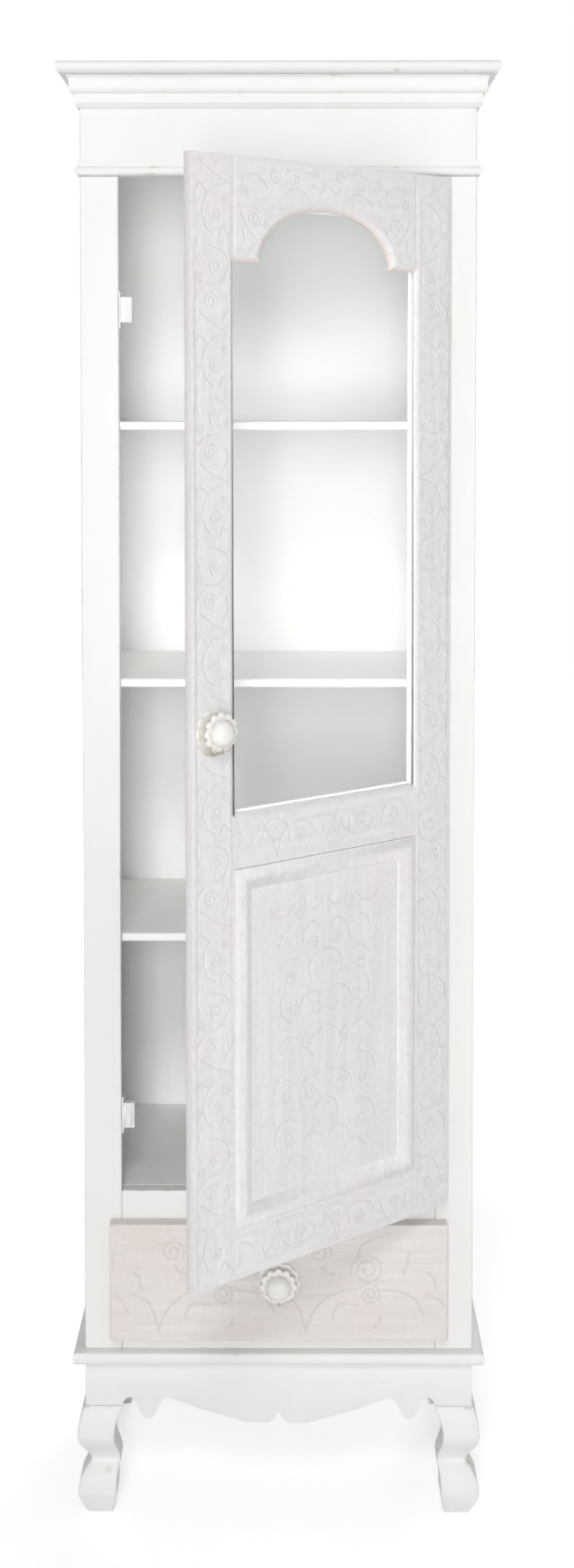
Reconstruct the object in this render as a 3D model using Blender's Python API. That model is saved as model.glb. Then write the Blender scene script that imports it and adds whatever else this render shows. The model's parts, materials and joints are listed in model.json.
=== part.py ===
"""Tall painted cabinet with a glazed door, three shelves, one drawer and cabriole legs.

Units are metres, +Z is up and the front faces -Y. The door is modelled standing ajar and the
drawer shut. All pieces hang from an empty on the front plane of the face frame.
"""

import math

import bmesh
import bpy
from mathutils import Matrix, Vector

# Clearance between pieces that touch
JOINT_GAP = 0.0003

# Carcass boards
CARCASS_WIDTH = 0.482
CARCASS_DEPTH = 0.330
SIDE_THICKNESS = 0.015
BACK_THICKNESS = 0.005
BACK_LAP = 0.007
TOP_THICKNESS = 0.012
FLOOR_THICKNESS = 0.012
SHELF_THICKNESS = 0.010
SHELF_PITCH = 0.3185
SHELF_NAMES = ("lower", "middle", "upper")
HOUSING_DEPTH = 0.005
BOARD_EASE = 0.0010

# Face frame, from the base slab upwards
FRAME_THICKNESS = 0.020
STILE_WIDTH = 0.046
BOTTOM_RAIL_HEIGHT = 0.030
DRAWER_OPENING_HEIGHT = 0.124
MID_RAIL_HEIGHT = 0.047
DOOR_OPENING_HEIGHT = 1.254
FRIEZE_HEIGHT = 0.082
TENON_THICKNESS = 0.006
TENON_LENGTH = 0.014
TENON_SHOULDER = 0.007

# Crown: stepped cornice under a cap board, and the half-round astragal below the frieze
CORNICE_HEIGHT = 0.0385
CORNICE_FOOT_REACH = 0.0028
CORNICE_FASCIA_REACH = 0.0068
CORNICE_FASCIA_FOOT = 0.0055
CORNICE_FASCIA_HEIGHT = 0.0110
CORNICE_OVOLO_HEIGHT = 0.0085
CORNICE_OVOLO_REACH = 0.0120
CORNICE_CAVETTO_REACH = 0.0170
CAP_THICKNESS = 0.0145
CAP_FOOT_REACH = 0.0185
CAP_REACH = 0.0272
CAP_LIP_HEIGHT = 0.0045
ASTRAGAL_HEIGHT = 0.0175
ASTRAGAL_REACH = 0.0055
ASTRAGAL_FILLET_HEIGHT = 0.0055
ASTRAGAL_FILLET_REACH = 0.0025
MOULDING_STEPS = 6
# Angles in degrees where a hollow, the cap's lip and the astragal's bead begin and end
HOLLOW_START = 175
CAP_LIP_START = 30
ASTRAGAL_BEAD_ARC = (-80, 65)

# Base: moulded slab, scalloped aprons and square cabriole legs
LEG_HEIGHT = 0.195
SLAB_THICKNESS = 0.015
SLAB_REACH = 0.0145
SLAB_NOSE = 0.0040
APRON_THICKNESS = 0.018
LEG_SHOULDER_HEIGHT = 0.138
LEG_SHOULDER_WIDTH = 0.049
LEG_SHOULDER_FLARE = 0.0023
LEG_POST_WIDTH = 0.026
KNEE_HEIGHT = 0.100
KNEE_FLARE = 0.0095
KNEE_WIDTH = 0.0455
ANKLE_HEIGHT = 0.0645
ANKLE_TUCK = 0.0066
ANKLE_WIDTH = 0.0364
FOOT_HEIGHT = 0.025
FOOT_FLARE = 0.0088
FOOT_WIDTH = 0.0475
SOLE_TUCK = 0.0028
SOLE_WIDTH = 0.031
LEG_ARRIS = 0.0015
LEG_RINGS = 6
SCALLOP_TOP = 0.1515
SCALLOP_LOW = 0.1259
SCALLOP_PERIOD = 0.050
SCALLOP_FIRST_TOP = 0.0081
SCALLOP_SHARPNESS = 1.5
LOBE_LOW = 0.1213
LOBE_HALF = 0.044
NOTCH_TOP = 0.1334
NOTCH_HALF = 0.012
SCALLOP_STEPS = 18
SLOPE_STEPS = 7
NOTCH_STEPS = 4

# Door, laid over the face frame and hung on the right
DOOR_REST_ANGLE = math.radians(41.7)
DOOR_THICKNESS = 0.014
DOOR_OVERLAY_LOCK = 0.008
DOOR_OVERLAY_HINGE = 0.004
DOOR_OVERLAY_BOTTOM = 0.010
DOOR_TOP_CLEARANCE = 0.004
DOOR_STILE_WIDTH = 0.060
DOOR_BOTTOM_RAIL = 0.058
PANEL_OPENING_HEIGHT = 0.409
DOOR_LOCK_RAIL = 0.063
DOOR_CREST_RAIL = 0.054
ARCH_WIDTH = 0.200
ARCH_RISE = 0.0625
ARCH_STEPS = 28
DOOR_TENON_THICKNESS = 0.005
DOOR_TENON_LENGTH = 0.020
DOOR_TENON_SHOULDER = 0.004
GLASS_LIP = 0.0055
GLASS_THICKNESS = 0.003
GLASS_REBATE = 0.008
GLASS_CHAMFER_WIDTH = 0.0050
GLASS_CHAMFER_DEPTH = 0.0040
BEAD_WIDTH = 0.010
PANEL_TONGUE = 0.006
PANEL_TONGUE_THICKNESS = 0.006
PANEL_BACK_INSET = 0.004
PANEL_FIELD_DROP = 0.0025
# Panel border from its outer edge inwards: distance from the frame and rise above the door's face
PANEL_BORDER = ((0.003, 0.0030), (0.009, 0.0055), (0.012, 0.0055), (0.0155, 0.0035), (0.024, -0.0005))
PANEL_BORDER_WIDTH = 0.026
PANEL_BORDER_EDGE = 0.0015

# Butt hinges: one leaf wraps the face frame, the other lies on the back of the door
HINGE_LENGTH = 0.050
HINGE_INSET = 0.170
HINGE_LEAF_THICKNESS = 0.0012
HINGE_DOOR_LEAF_WIDTH = 0.022
HINGE_FRAME_LEAF_DEPTH = 0.016
HINGE_KNUCKLE_RADIUS = 0.0030
HINGE_PIN_RADIUS = 0.0013
HINGE_RUNNING_FIT = 0.0001
HINGE_SIDE_PLAY = 0.0004
HINGE_FACETS = 24
HINGE_DOOR_STRAP_END = 0.0021
HINGE_FRAME_STRAP_END = 0.0009

# Magnetic catches on the lock-side stile and their strike plates on the door
CATCH_TOP_INSET = 0.158
CATCH_BOTTOM_INSET = 0.105
CATCH_EAR_HEIGHT = 0.045
CATCH_BODY_HEIGHT = 0.031
CATCH_WIDTH = 0.016
CATCH_EAR_THICKNESS = 0.0025
CATCH_DEPTH = 0.014
STRIKE_WIDTH = 0.014
STRIKE_HEIGHT = 0.036
STRIKE_THICKNESS = 0.0012

# Drawer with an overlaid front, and the runners it slides on
DRAWER_FRONT_THICKNESS = 0.0205
DRAWER_OVERLAY_SIDE = 0.014
DRAWER_OVERLAY_LOW = 0.011
DRAWER_OVERLAY_HIGH = 0.012
DRAWER_CLEARANCE = 0.003
DRAWER_SIDE_THICKNESS = 0.012
DRAWER_TOP_CLEARANCE = 0.008
DRAWER_DEPTH = 0.285
DRAWER_BOTTOM_THICKNESS = 0.005
DRAWER_BOTTOM_RISE = 0.008
DRAWER_GROOVE = 0.005
DRAWER_BACK_DROP = 0.010
RUNNER_GUIDE_HEIGHT = 0.022
RUNNER_PLAY = 0.0015

# Flower knobs on scalloped back plates, one on the door and one on the drawer
KNOB_PETALS = 12
KNOB_PETAL_SEGMENTS = 5
KNOB_PETAL_DIP = 0.10
KNOB_PLATE_RADIUS = 0.0275
KNOB_PLATE_THICKNESS = 0.003
KNOB_NECK_RADIUS = 0.0085
KNOB_RIM_RADIUS = 0.0225
KNOB_RIM_LOW = 0.010
KNOB_RIM_HIGH = 0.0145
KNOB_CUP_RADIUS = 0.0165
KNOB_CUP_HEIGHT = 0.0155
KNOB_DOME_RADIUS = 0.0145
# Angles up the dome, in degrees, at which it has a ring
KNOB_DOME_ANGLES = (25, 50, 75)
KNOB_HEIGHT = 0.026
DOOR_KNOB_HEIGHT = 0.625

# Heights worked out from the stack
SLAB_TOP = LEG_HEIGHT + SLAB_THICKNESS
DRAWER_OPENING_LOW = SLAB_TOP + BOTTOM_RAIL_HEIGHT
DRAWER_OPENING_HIGH = DRAWER_OPENING_LOW + DRAWER_OPENING_HEIGHT
FLOOR_TOP = DRAWER_OPENING_HIGH + MID_RAIL_HEIGHT
OPENING_TOP = FLOOR_TOP + DOOR_OPENING_HEIGHT
CROWN_LOW = OPENING_TOP + FRIEZE_HEIGHT
CAP_LOW = CROWN_LOW + CORNICE_HEIGHT
HALF_WIDTH = CARCASS_WIDTH / 2
INNER_HALF = HALF_WIDTH - SIDE_THICKNESS
OPENING_HALF = HALF_WIDTH - STILE_WIDTH
LEG_BACK_INSET = max(KNEE_FLARE, FOOT_FLARE)

# Door places, measured from the hinge axis with the door shut
DOOR_LOW = FLOOR_TOP - DOOR_OVERLAY_BOTTOM
DOOR_HEIGHT = OPENING_TOP - DOOR_TOP_CLEARANCE - DOOR_LOW
DOOR_WIDTH = 2 * OPENING_HALF + DOOR_OVERLAY_LOCK + DOOR_OVERLAY_HINGE
DOOR_RIGHT = -(HINGE_KNUCKLE_RADIUS + HINGE_SIDE_PLAY)
DOOR_LEFT = DOOR_RIGHT - DOOR_WIDTH
DOOR_STANDOFF = 2 * HINGE_LEAF_THICKNESS + 3 * JOINT_GAP
AXIS_X = OPENING_HALF + DOOR_OVERLAY_HINGE - DOOR_RIGHT
LIGHT_LEFT = DOOR_LEFT + DOOR_STILE_WIDTH
LIGHT_RIGHT = DOOR_RIGHT - DOOR_STILE_WIDTH
LIGHT_MIDDLE = (LIGHT_LEFT + LIGHT_RIGHT) / 2
PANEL_LOW = DOOR_BOTTOM_RAIL
PANEL_HIGH = PANEL_LOW + PANEL_OPENING_HEIGHT
SILL = PANEL_HIGH + DOOR_LOCK_RAIL
ARCH_TOP = DOOR_HEIGHT - DOOR_CREST_RAIL
ARCH_FOOT = ARCH_TOP - ARCH_RISE
KNOB_FROM_AXIS = -DOOR_LEFT - DOOR_STILE_WIDTH / 2

# The origin is under the middle of the whole object with the door ajar
DOOR_REACH = (
    DOOR_STANDOFF
    + (KNOB_FROM_AXIS + KNOB_RIM_RADIUS) * math.sin(DOOR_REST_ANGLE)
    + (DOOR_THICKNESS + KNOB_RIM_HIGH) * math.cos(DOOR_REST_ANGLE)
)
FACE_Y = (DOOR_REACH - CARCASS_DEPTH) / 2


def clear_scene():
    """Remove every object that is in the scene."""
    for obj in list(bpy.data.objects):
        bpy.data.objects.remove(obj)


def finish(name, colour, roughness, metallic=0.0, alpha=1.0):
    """Make a Principled material."""
    material = bpy.data.materials.new(name)
    material.use_nodes = True
    shader = material.node_tree.nodes["Principled BSDF"]
    shader.inputs["Base Color"].default_value = (*colour, 1.0)
    shader.inputs["Roughness"].default_value = roughness
    shader.inputs["Metallic"].default_value = metallic
    shader.inputs["Alpha"].default_value = alpha
    return material


def empty(name, parent, location, turn=0.0):
    """Add an empty that carries a group of pieces."""
    obj = bpy.data.objects.new(name, None)
    obj.location = location
    obj.rotation_euler = (0.0, 0.0, turn)
    obj.parent = parent
    bpy.context.collection.objects.link(obj)
    return obj


def place(name, bm, parent, material, location=(0.0, 0.0, 0.0)):
    """Turn a bmesh into a named object under its parent."""
    bmesh.ops.recalc_face_normals(bm, faces=bm.faces)
    mesh = bpy.data.meshes.new(name)
    bm.to_mesh(mesh)
    bm.free()
    obj = bpy.data.objects.new(name, mesh)
    obj.location = location
    obj.parent = parent
    if material:
        mesh.materials.append(material)
    bpy.context.collection.objects.link(obj)
    return obj


def ease_edges(obj, width):
    """Round the long edges of a board slightly."""
    bevel = obj.modifiers.new("eased_edges", "BEVEL")
    bevel.width = width
    bevel.segments = 1
    bevel.limit_method = "ANGLE"
    return obj


def board(name, low, high, parent, material, ease=BOARD_EASE):
    """Add a rectangular board between two corners."""
    low, high = Vector(low), Vector(high)
    bm = bmesh.new()
    bmesh.ops.create_cube(bm, size=1.0, matrix=Matrix.Diagonal((*(high - low), 1.0)))
    obj = place(name, bm, parent, material, (low + high) / 2)
    return ease_edges(obj, ease) if ease else obj


def spread(axis, u, v, along):
    """Put an outline point (u, v) at a place along one axis."""
    return {"X": (along, u, v), "Y": (u, along, v), "Z": (u, v, along)}[axis]


def prism(name, outline, axis, start, end, parent, material):
    """Extrude a closed outline along an axis."""
    bm = bmesh.new()
    face = bm.faces.new([bm.verts.new(spread(axis, u, v, start)) for u, v in outline])
    swept = bmesh.ops.extrude_face_region(bm, geom=[face])["geom"]
    shift = Vector(spread(axis, 0.0, 0.0, end - start))
    bmesh.ops.translate(bm, vec=shift, verts=[g for g in swept if isinstance(g, bmesh.types.BMVert)])
    return place(name, bm, parent, material)


def loft(name, rings, parent, material, location=(0.0, 0.0, 0.0)):
    """Skin a run of rings that have the same number of points, and cap both ends."""
    bm = bmesh.new()
    loops = [[bm.verts.new(point) for point in ring] for ring in rings]
    count = len(loops[0])
    for lower, upper in zip(loops, loops[1:]):
        for i in range(count):
            j = (i + 1) % count
            bm.faces.new((lower[i], lower[j], upper[j], upper[i]))
    bm.faces.new(list(reversed(loops[0])))
    bm.faces.new(loops[-1])
    return place(name, bm, parent, material, location)


def cylinder(name, centre, radius, height, parent, material):
    """Add an upright cylinder centred on a point."""
    bm = bmesh.new()
    bmesh.ops.create_cone(
        bm, cap_ends=True, segments=HINGE_FACETS, radius1=radius, radius2=radius, depth=height
    )
    return place(name, bm, parent, material, centre)


def tool(obj):
    """Mark an object as one that only shapes its neighbours."""
    obj.hide_render = True
    obj.display_type = "WIRE"
    return obj


def combine(target, other, operation):
    """Join another object to a piece, or cut it away."""
    boolean = target.modifiers.new(other.name, "BOOLEAN")
    boolean.object = tool(other)
    boolean.operation = operation
    boolean.solver = "EXACT"


def cut(target, other):
    """Cut one object out of a piece."""
    combine(target, other, "DIFFERENCE")


def box_tool(name, low, high, parent):
    """Add a plain box that cuts or joins."""
    return board(name, low, high, parent, None, ease=0.0)


def tenoned(rail, stiles, low, high, length, parent):
    """Give a rail a tenon at both ends and cut the mortises in its stiles.

    low and high are the corners of the rail's core between the stiles.
    """
    reach = Vector((length, 0.0, 0.0))
    slack = Vector((JOINT_GAP, JOINT_GAP, JOINT_GAP))
    core = box_tool(rail.name + "_tenon", Vector(low) - reach, Vector(high) + reach, parent)
    hole = box_tool(
        rail.name + "_mortise", Vector(low) - reach - slack, Vector(high) + reach + slack, parent
    )
    combine(rail, core, "UNION")
    for stile in stiles:
        cut(stile, hole)


def offset_outline(points, distance):
    """Move a closed outline, given anticlockwise, outwards by a distance with sharp corners."""
    moved = []
    for i, point in enumerate(points):
        here = Vector(point)
        before = (here - Vector(points[i - 1])).normalized()
        after = (Vector(points[(i + 1) % len(points)]) - here).normalized()
        normal = Vector((before.y, -before.x))
        corner = (normal + Vector((after.y, -after.x))).normalized()
        moved.append(tuple(here + corner * (distance / corner.dot(normal))))
    return moved


def arc(centre, radius_x, radius_z, start, end, steps):
    """Points of an elliptical arc between two angles in degrees."""
    points = []
    for i in range(steps + 1):
        angle = math.radians(start + (end - start) * i / steps)
        points.append((centre[0] + radius_x * math.cos(angle), centre[1] + radius_z * math.sin(angle)))
    return points


def housed_side(side, sign, cabinet, paint):
    """A side panel with housings for the shelves, floor and top, and a rebate for the back."""
    inner, deep = sign * INNER_HALF, sign * (INNER_HALF + HOUSING_DEPTH)
    outline = [(sign * HALF_WIDTH, SLAB_TOP + JOINT_GAP), (inner, SLAB_TOP + JOINT_GAP)]
    for low, high in sorted(level_boards().values()):
        outline += [(inner, low - JOINT_GAP), (deep, low - JOINT_GAP)]
        outline += [(deep, high + JOINT_GAP), (inner, high + JOINT_GAP)]
    outline += [(inner, CAP_LOW - JOINT_GAP), (sign * HALF_WIDTH, CAP_LOW - JOINT_GAP)]
    panel = prism(
        "side_panel_" + side, outline, "Y", FRAME_THICKNESS + JOINT_GAP, CARCASS_DEPTH, cabinet, paint
    )
    edges = sorted((sign * (INNER_HALF - BACK_LAP), sign * (INNER_HALF + BACK_LAP)))
    rebate = box_tool(
        "back_rebate_" + side,
        (edges[0], CARCASS_DEPTH - BACK_THICKNESS - JOINT_GAP, LEG_HEIGHT),
        (edges[1], CARCASS_DEPTH + BACK_THICKNESS, CAP_LOW + CAP_THICKNESS),
        cabinet,
    )
    cut(panel, rebate)


def level_boards():
    """Low and high faces of each board that is housed in the sides, by name."""
    boards = {
        "floor_panel": (FLOOR_TOP - FLOOR_THICKNESS, FLOOR_TOP),
        "top_panel": (CROWN_LOW - TOP_THICKNESS, CROWN_LOW),
    }
    for i, name in enumerate(SHELF_NAMES):
        top = FLOOR_TOP + SHELF_PITCH * (i + 1)
        boards["shelf_" + name] = (top - SHELF_THICKNESS, top)
    return boards


def build_carcass(cabinet, paint):
    """Sides, back, top, floor and shelves."""
    housed_side("left", -1, cabinet, paint)
    housed_side("right", 1, cabinet, paint)
    back_half = INNER_HALF + BACK_LAP - JOINT_GAP
    board(
        "back_panel",
        (-back_half, CARCASS_DEPTH - BACK_THICKNESS, SLAB_TOP + JOINT_GAP),
        (back_half, CARCASS_DEPTH, CAP_LOW - JOINT_GAP),
        cabinet,
        paint,
        ease=0.0,
    )
    reach = INNER_HALF + HOUSING_DEPTH - JOINT_GAP
    for name, (low, high) in level_boards().items():
        board(
            name,
            (-reach, FRAME_THICKNESS + JOINT_GAP, low),
            (reach, CARCASS_DEPTH - BACK_THICKNESS - 2 * JOINT_GAP, high),
            cabinet,
            paint,
        )


def build_face_frame(cabinet, paint):
    """Stiles and rails round the door and drawer openings."""
    stiles = []
    for side, sign in (("left", -1), ("right", 1)):
        edges = sorted((sign * OPENING_HALF, sign * HALF_WIDTH))
        stiles.append(
            board(
                "face_stile_" + side,
                (edges[0], 0.0, SLAB_TOP + JOINT_GAP),
                (edges[1], FRAME_THICKNESS, OPENING_TOP - JOINT_GAP),
                cabinet,
                paint,
            )
        )
    board(
        "frieze_rail",
        (-HALF_WIDTH, 0.0, OPENING_TOP),
        (HALF_WIDTH, FRAME_THICKNESS, CAP_LOW - JOINT_GAP),
        cabinet,
        paint,
    )
    half = OPENING_HALF - JOINT_GAP
    tenon_front = (FRAME_THICKNESS - TENON_THICKNESS) / 2
    for name, low, high in (
        ("bottom_rail", SLAB_TOP + JOINT_GAP, DRAWER_OPENING_LOW),
        ("mid_rail", DRAWER_OPENING_HIGH, FLOOR_TOP),
    ):
        rail = board(name, (-half, 0.0, low), (half, FRAME_THICKNESS, high), cabinet, paint)
        tenoned(
            rail,
            stiles,
            (-half, tenon_front, low + TENON_SHOULDER),
            (half, tenon_front + TENON_THICKNESS, high - TENON_SHOULDER),
            TENON_LENGTH,
            cabinet,
        )


def mitred_moulding(prefix, profile, low, cabinet, paint):
    """Run a profile along the front and both sides, mitred at the front corners.

    The profile is a closed list of (reach from the carcass, height above low).
    """
    ends = [
        [(sign * (HALF_WIDTH + p - JOINT_GAP), -p, low + h) for p, h in profile] for sign in (-1, 1)
    ]
    loft(prefix + "_front", ends, cabinet, paint)
    for side, sign in (("left", -1), ("right", 1)):
        front = [(sign * (HALF_WIDTH + p), -p, low + h) for p, h in profile]
        back = [(sign * (HALF_WIDTH + p), CARCASS_DEPTH, low + h) for p, h in profile]
        loft(f"{prefix}_{side}", [front, back], cabinet, paint)


def cornice_profile():
    """Closed section of the cornice: fascia, ovolo and cavetto."""
    fascia_top = CORNICE_FASCIA_FOOT + CORNICE_FASCIA_HEIGHT
    ovolo_top = fascia_top + CORNICE_OVOLO_HEIGHT
    ovolo_reach = CORNICE_OVOLO_REACH - CORNICE_FASCIA_REACH
    cavetto_rise = CORNICE_HEIGHT - ovolo_top - JOINT_GAP
    cavetto_reach = CORNICE_CAVETTO_REACH - CORNICE_OVOLO_REACH
    profile = [(JOINT_GAP, 0.0), (CORNICE_FOOT_REACH, 0.0), (CORNICE_FASCIA_REACH, CORNICE_FASCIA_FOOT)]
    ovolo_centre = (CORNICE_FASCIA_REACH, ovolo_top)
    profile += arc(ovolo_centre, ovolo_reach, CORNICE_OVOLO_HEIGHT, -90, 0, MOULDING_STEPS)
    cavetto_centre = (CORNICE_CAVETTO_REACH, ovolo_top)
    profile += arc(cavetto_centre, cavetto_reach, cavetto_rise, HOLLOW_START, 90, MOULDING_STEPS)
    return profile + [(JOINT_GAP, CORNICE_HEIGHT - JOINT_GAP)]


def stepped_slab(name, profile, low, cabinet, paint):
    """A board whose front and side edges follow a profile of (reach, height) and whose back is flat."""
    rings = []
    for reach, height in profile:
        half = HALF_WIDTH + reach
        rings.append(
            [
                (-half, -reach, low + height),
                (half, -reach, low + height),
                (half, CARCASS_DEPTH, low + height),
                (-half, CARCASS_DEPTH, low + height),
            ]
        )
    loft(name, rings, cabinet, paint)


def build_crown(cabinet, paint):
    """Cornice, cap board and astragal."""
    mitred_moulding("cornice", cornice_profile(), CROWN_LOW, cabinet, paint)
    lip_foot = CAP_THICKNESS - CAP_LIP_HEIGHT
    swell = CAP_REACH - CAP_FOOT_REACH
    cap_edge = arc((CAP_FOOT_REACH, lip_foot), swell, lip_foot, -90, 0, MOULDING_STEPS)
    lip_centre = (CAP_REACH - CAP_LIP_HEIGHT, lip_foot)
    cap_edge += arc(lip_centre, CAP_LIP_HEIGHT, CAP_LIP_HEIGHT, CAP_LIP_START, 90, MOULDING_STEPS // 2)
    stepped_slab("crown_cap", cap_edge, CAP_LOW, cabinet, paint)
    half_bead = (ASTRAGAL_HEIGHT - ASTRAGAL_FILLET_HEIGHT) / 2
    bead_start, bead_end = ASTRAGAL_BEAD_ARC
    section = [(JOINT_GAP, 0.0)]
    section += arc(
        (JOINT_GAP, half_bead), ASTRAGAL_REACH, half_bead, bead_start, bead_end, 2 * MOULDING_STEPS
    )
    section += [(ASTRAGAL_FILLET_REACH, ASTRAGAL_HEIGHT), (JOINT_GAP, ASTRAGAL_HEIGHT)]
    mitred_moulding("astragal", section, OPENING_TOP, cabinet, paint)


def scalloped_edge(half_span):
    """Lower edge of an apron from the leg to the middle, as (distance from the leg, height)."""
    wave_end = SCALLOP_FIRST_TOP + SCALLOP_PERIOD
    edge = []
    for i in range(SCALLOP_STEPS + 1):
        d = wave_end * i / SCALLOP_STEPS
        wave = (1 - math.cos(2 * math.pi * (d - SCALLOP_FIRST_TOP) / SCALLOP_PERIOD)) / 2
        edge.append((d, SCALLOP_TOP - (SCALLOP_TOP - SCALLOP_LOW) * wave**SCALLOP_SHARPNESS))
    lobe_start = half_span - LOBE_HALF
    for i in range(1, SLOPE_STEPS + 1):
        share = i / SLOPE_STEPS
        d = wave_end + (lobe_start - wave_end) * share
        drop = (share + math.sin(share * math.pi / 2)) / 2
        edge.append((d, SCALLOP_TOP - (SCALLOP_TOP - LOBE_LOW) * drop))
    for i in range(NOTCH_STEPS):
        share = i / NOTCH_STEPS
        rise = (NOTCH_TOP - LOBE_LOW) * (1 - math.cos(share * math.pi / 2))
        edge.append((half_span - NOTCH_HALF * (1 - share), LOBE_LOW + rise))
    edge.append((half_span - JOINT_GAP, NOTCH_TOP))
    return edge


def apron_outline(start, end, leg, edge):
    """Closed outline of an apron whose ends stand on the leg shoulders.

    leg is how far each shoulder reaches in and edge runs from the leg to the middle.
    """
    inner_start, inner_end = start + leg, end - leg
    top = LEG_HEIGHT - JOINT_GAP
    outline = [(start, top), (start, LEG_SHOULDER_HEIGHT), (inner_start, LEG_SHOULDER_HEIGHT)]
    outline += [(inner_start + d, z) for d, z in edge]
    outline += [(inner_end - d, z) for d, z in reversed(edge)]
    outline += [(inner_end, LEG_SHOULDER_HEIGHT), (end, LEG_SHOULDER_HEIGHT), (end, top)]
    return outline


def foot_curl(share):
    """Blend from the foot to the ankle, which leaves the foot slowly."""
    return share**3


def calf_sweep(share):
    """Blend from the ankle to the knee, slow at both ends."""
    return share * share * (3 - 2 * share)


def knee_round(share):
    """Blend from the knee to the shoulder, which leaves the knee slowly."""
    return share * share


def leg_stations():
    """Height, flare past the carcass corner and width of the leg, from sole to shoulder."""
    stations = [(0.0, -SOLE_TUCK, SOLE_WIDTH)]
    marks = (
        (FOOT_HEIGHT, FOOT_FLARE, FOOT_WIDTH),
        (ANKLE_HEIGHT, -ANKLE_TUCK, ANKLE_WIDTH),
        (KNEE_HEIGHT, KNEE_FLARE, KNEE_WIDTH),
        (LEG_SHOULDER_HEIGHT - JOINT_GAP, LEG_SHOULDER_FLARE, LEG_SHOULDER_WIDTH),
    )
    for low, high, curve in zip(marks, marks[1:], (foot_curl, calf_sweep, knee_round)):
        for i in range(LEG_RINGS):
            share = i / LEG_RINGS
            blend = curve(share)
            stations.append(
                (
                    low[0] + (high[0] - low[0]) * share,
                    low[1] + (high[1] - low[1]) * blend,
                    low[2] + (high[2] - low[2]) * blend,
                )
            )
    return stations + [marks[-1]]


def leg_ring(height, outer, inner, corner, sign_x, sign_y):
    """Square section with cut corners between two distances in from the carcass corner."""
    a, b = outer + LEG_ARRIS, inner - LEG_ARRIS
    section = (
        (outer, a), (outer, b), (a, inner), (b, inner), (inner, b), (inner, a), (b, outer), (a, outer),
    )
    return [(corner[0] - sign_x * u, corner[1] - sign_y * v, height) for u, v in section]


def build_base(cabinet, paint):
    """Slab, legs and aprons."""
    half = SLAB_THICKNESS / 2
    edge = arc((SLAB_REACH - SLAB_NOSE, half), SLAB_NOSE, half, -90, 90, 2 * MOULDING_STEPS)
    stepped_slab("base_slab", edge, LEG_HEIGHT, cabinet, paint)
    back_corner = CARCASS_DEPTH - LEG_BACK_INSET
    post = APRON_THICKNESS + JOINT_GAP
    for row, corner_y, sign_y in (("front", 0.0, -1), ("back", back_corner, 1)):
        for side, sign_x in (("left", -1), ("right", 1)):
            corner = (sign_x * HALF_WIDTH, corner_y)
            rings = [leg_ring(z, -f, w - f, corner, sign_x, sign_y) for z, f, w in leg_stations()]
            for z in (LEG_SHOULDER_HEIGHT - JOINT_GAP, LEG_HEIGHT - JOINT_GAP):
                rings.append(leg_ring(z, post, post + LEG_POST_WIDTH, corner, sign_x, sign_y))
            loft(f"leg_{row}_{side}", rings, cabinet, paint)
    leg_reach = LEG_SHOULDER_WIDTH - LEG_SHOULDER_FLARE
    scallops = scalloped_edge(HALF_WIDTH - leg_reach)
    front = apron_outline(-HALF_WIDTH, HALF_WIDTH, leg_reach, scallops)
    prism("apron_front", front, "Y", 0.0, APRON_THICKNESS, cabinet, paint)
    side_start, side_end = post, back_corner - post
    hollow = SCALLOP_TOP - LEG_SHOULDER_HEIGHT
    hollow_centre = (hollow, LEG_SHOULDER_HEIGHT)
    quarter_arch = arc(hollow_centre, hollow, hollow, HOLLOW_START, 90, MOULDING_STEPS)
    flank = apron_outline(side_start, side_end, leg_reach - post, quarter_arch)
    for side, sign in (("left", -1), ("right", 1)):
        outer, inner = sign * HALF_WIDTH, sign * (HALF_WIDTH - APRON_THICKNESS)
        prism("apron_" + side, flank, "X", outer, inner, cabinet, paint)
    board(
        "apron_back",
        (-HALF_WIDTH, back_corner - APRON_THICKNESS, LEG_SHOULDER_HEIGHT),
        (HALF_WIDTH, back_corner, LEG_HEIGHT - JOINT_GAP),
        cabinet,
        paint,
    )


def build_runners(cabinet, bare_wood):
    """A rebated runner on each side that carries and guides the drawer."""
    drawer_half = OPENING_HALF - DRAWER_CLEARANCE
    ledge = drawer_half - DRAWER_SIDE_THICKNESS
    guide = drawer_half + RUNNER_PLAY
    outer = INNER_HALF - JOINT_GAP
    guide_top = DRAWER_OPENING_LOW + RUNNER_GUIDE_HEIGHT
    section = [
        (ledge, SLAB_TOP + JOINT_GAP), (outer, SLAB_TOP + JOINT_GAP), (outer, guide_top),
        (guide, guide_top), (guide, DRAWER_OPENING_LOW), (ledge, DRAWER_OPENING_LOW),
    ]
    start, end = FRAME_THICKNESS + JOINT_GAP, CARCASS_DEPTH - BACK_THICKNESS - JOINT_GAP
    for side, sign in (("left", -1), ("right", 1)):
        outline = [(sign * u, v) for u, v in section]
        prism("drawer_runner_" + side, outline, "Y", start, end, cabinet, bare_wood)


def hinge_bore(name, middle, parent):
    """A rod that bores the pin hole through a hinge leaf."""
    return cylinder(name, middle, HINGE_PIN_RADIUS + HINGE_RUNNING_FIT, 2 * HINGE_LENGTH, parent, None)


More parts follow.
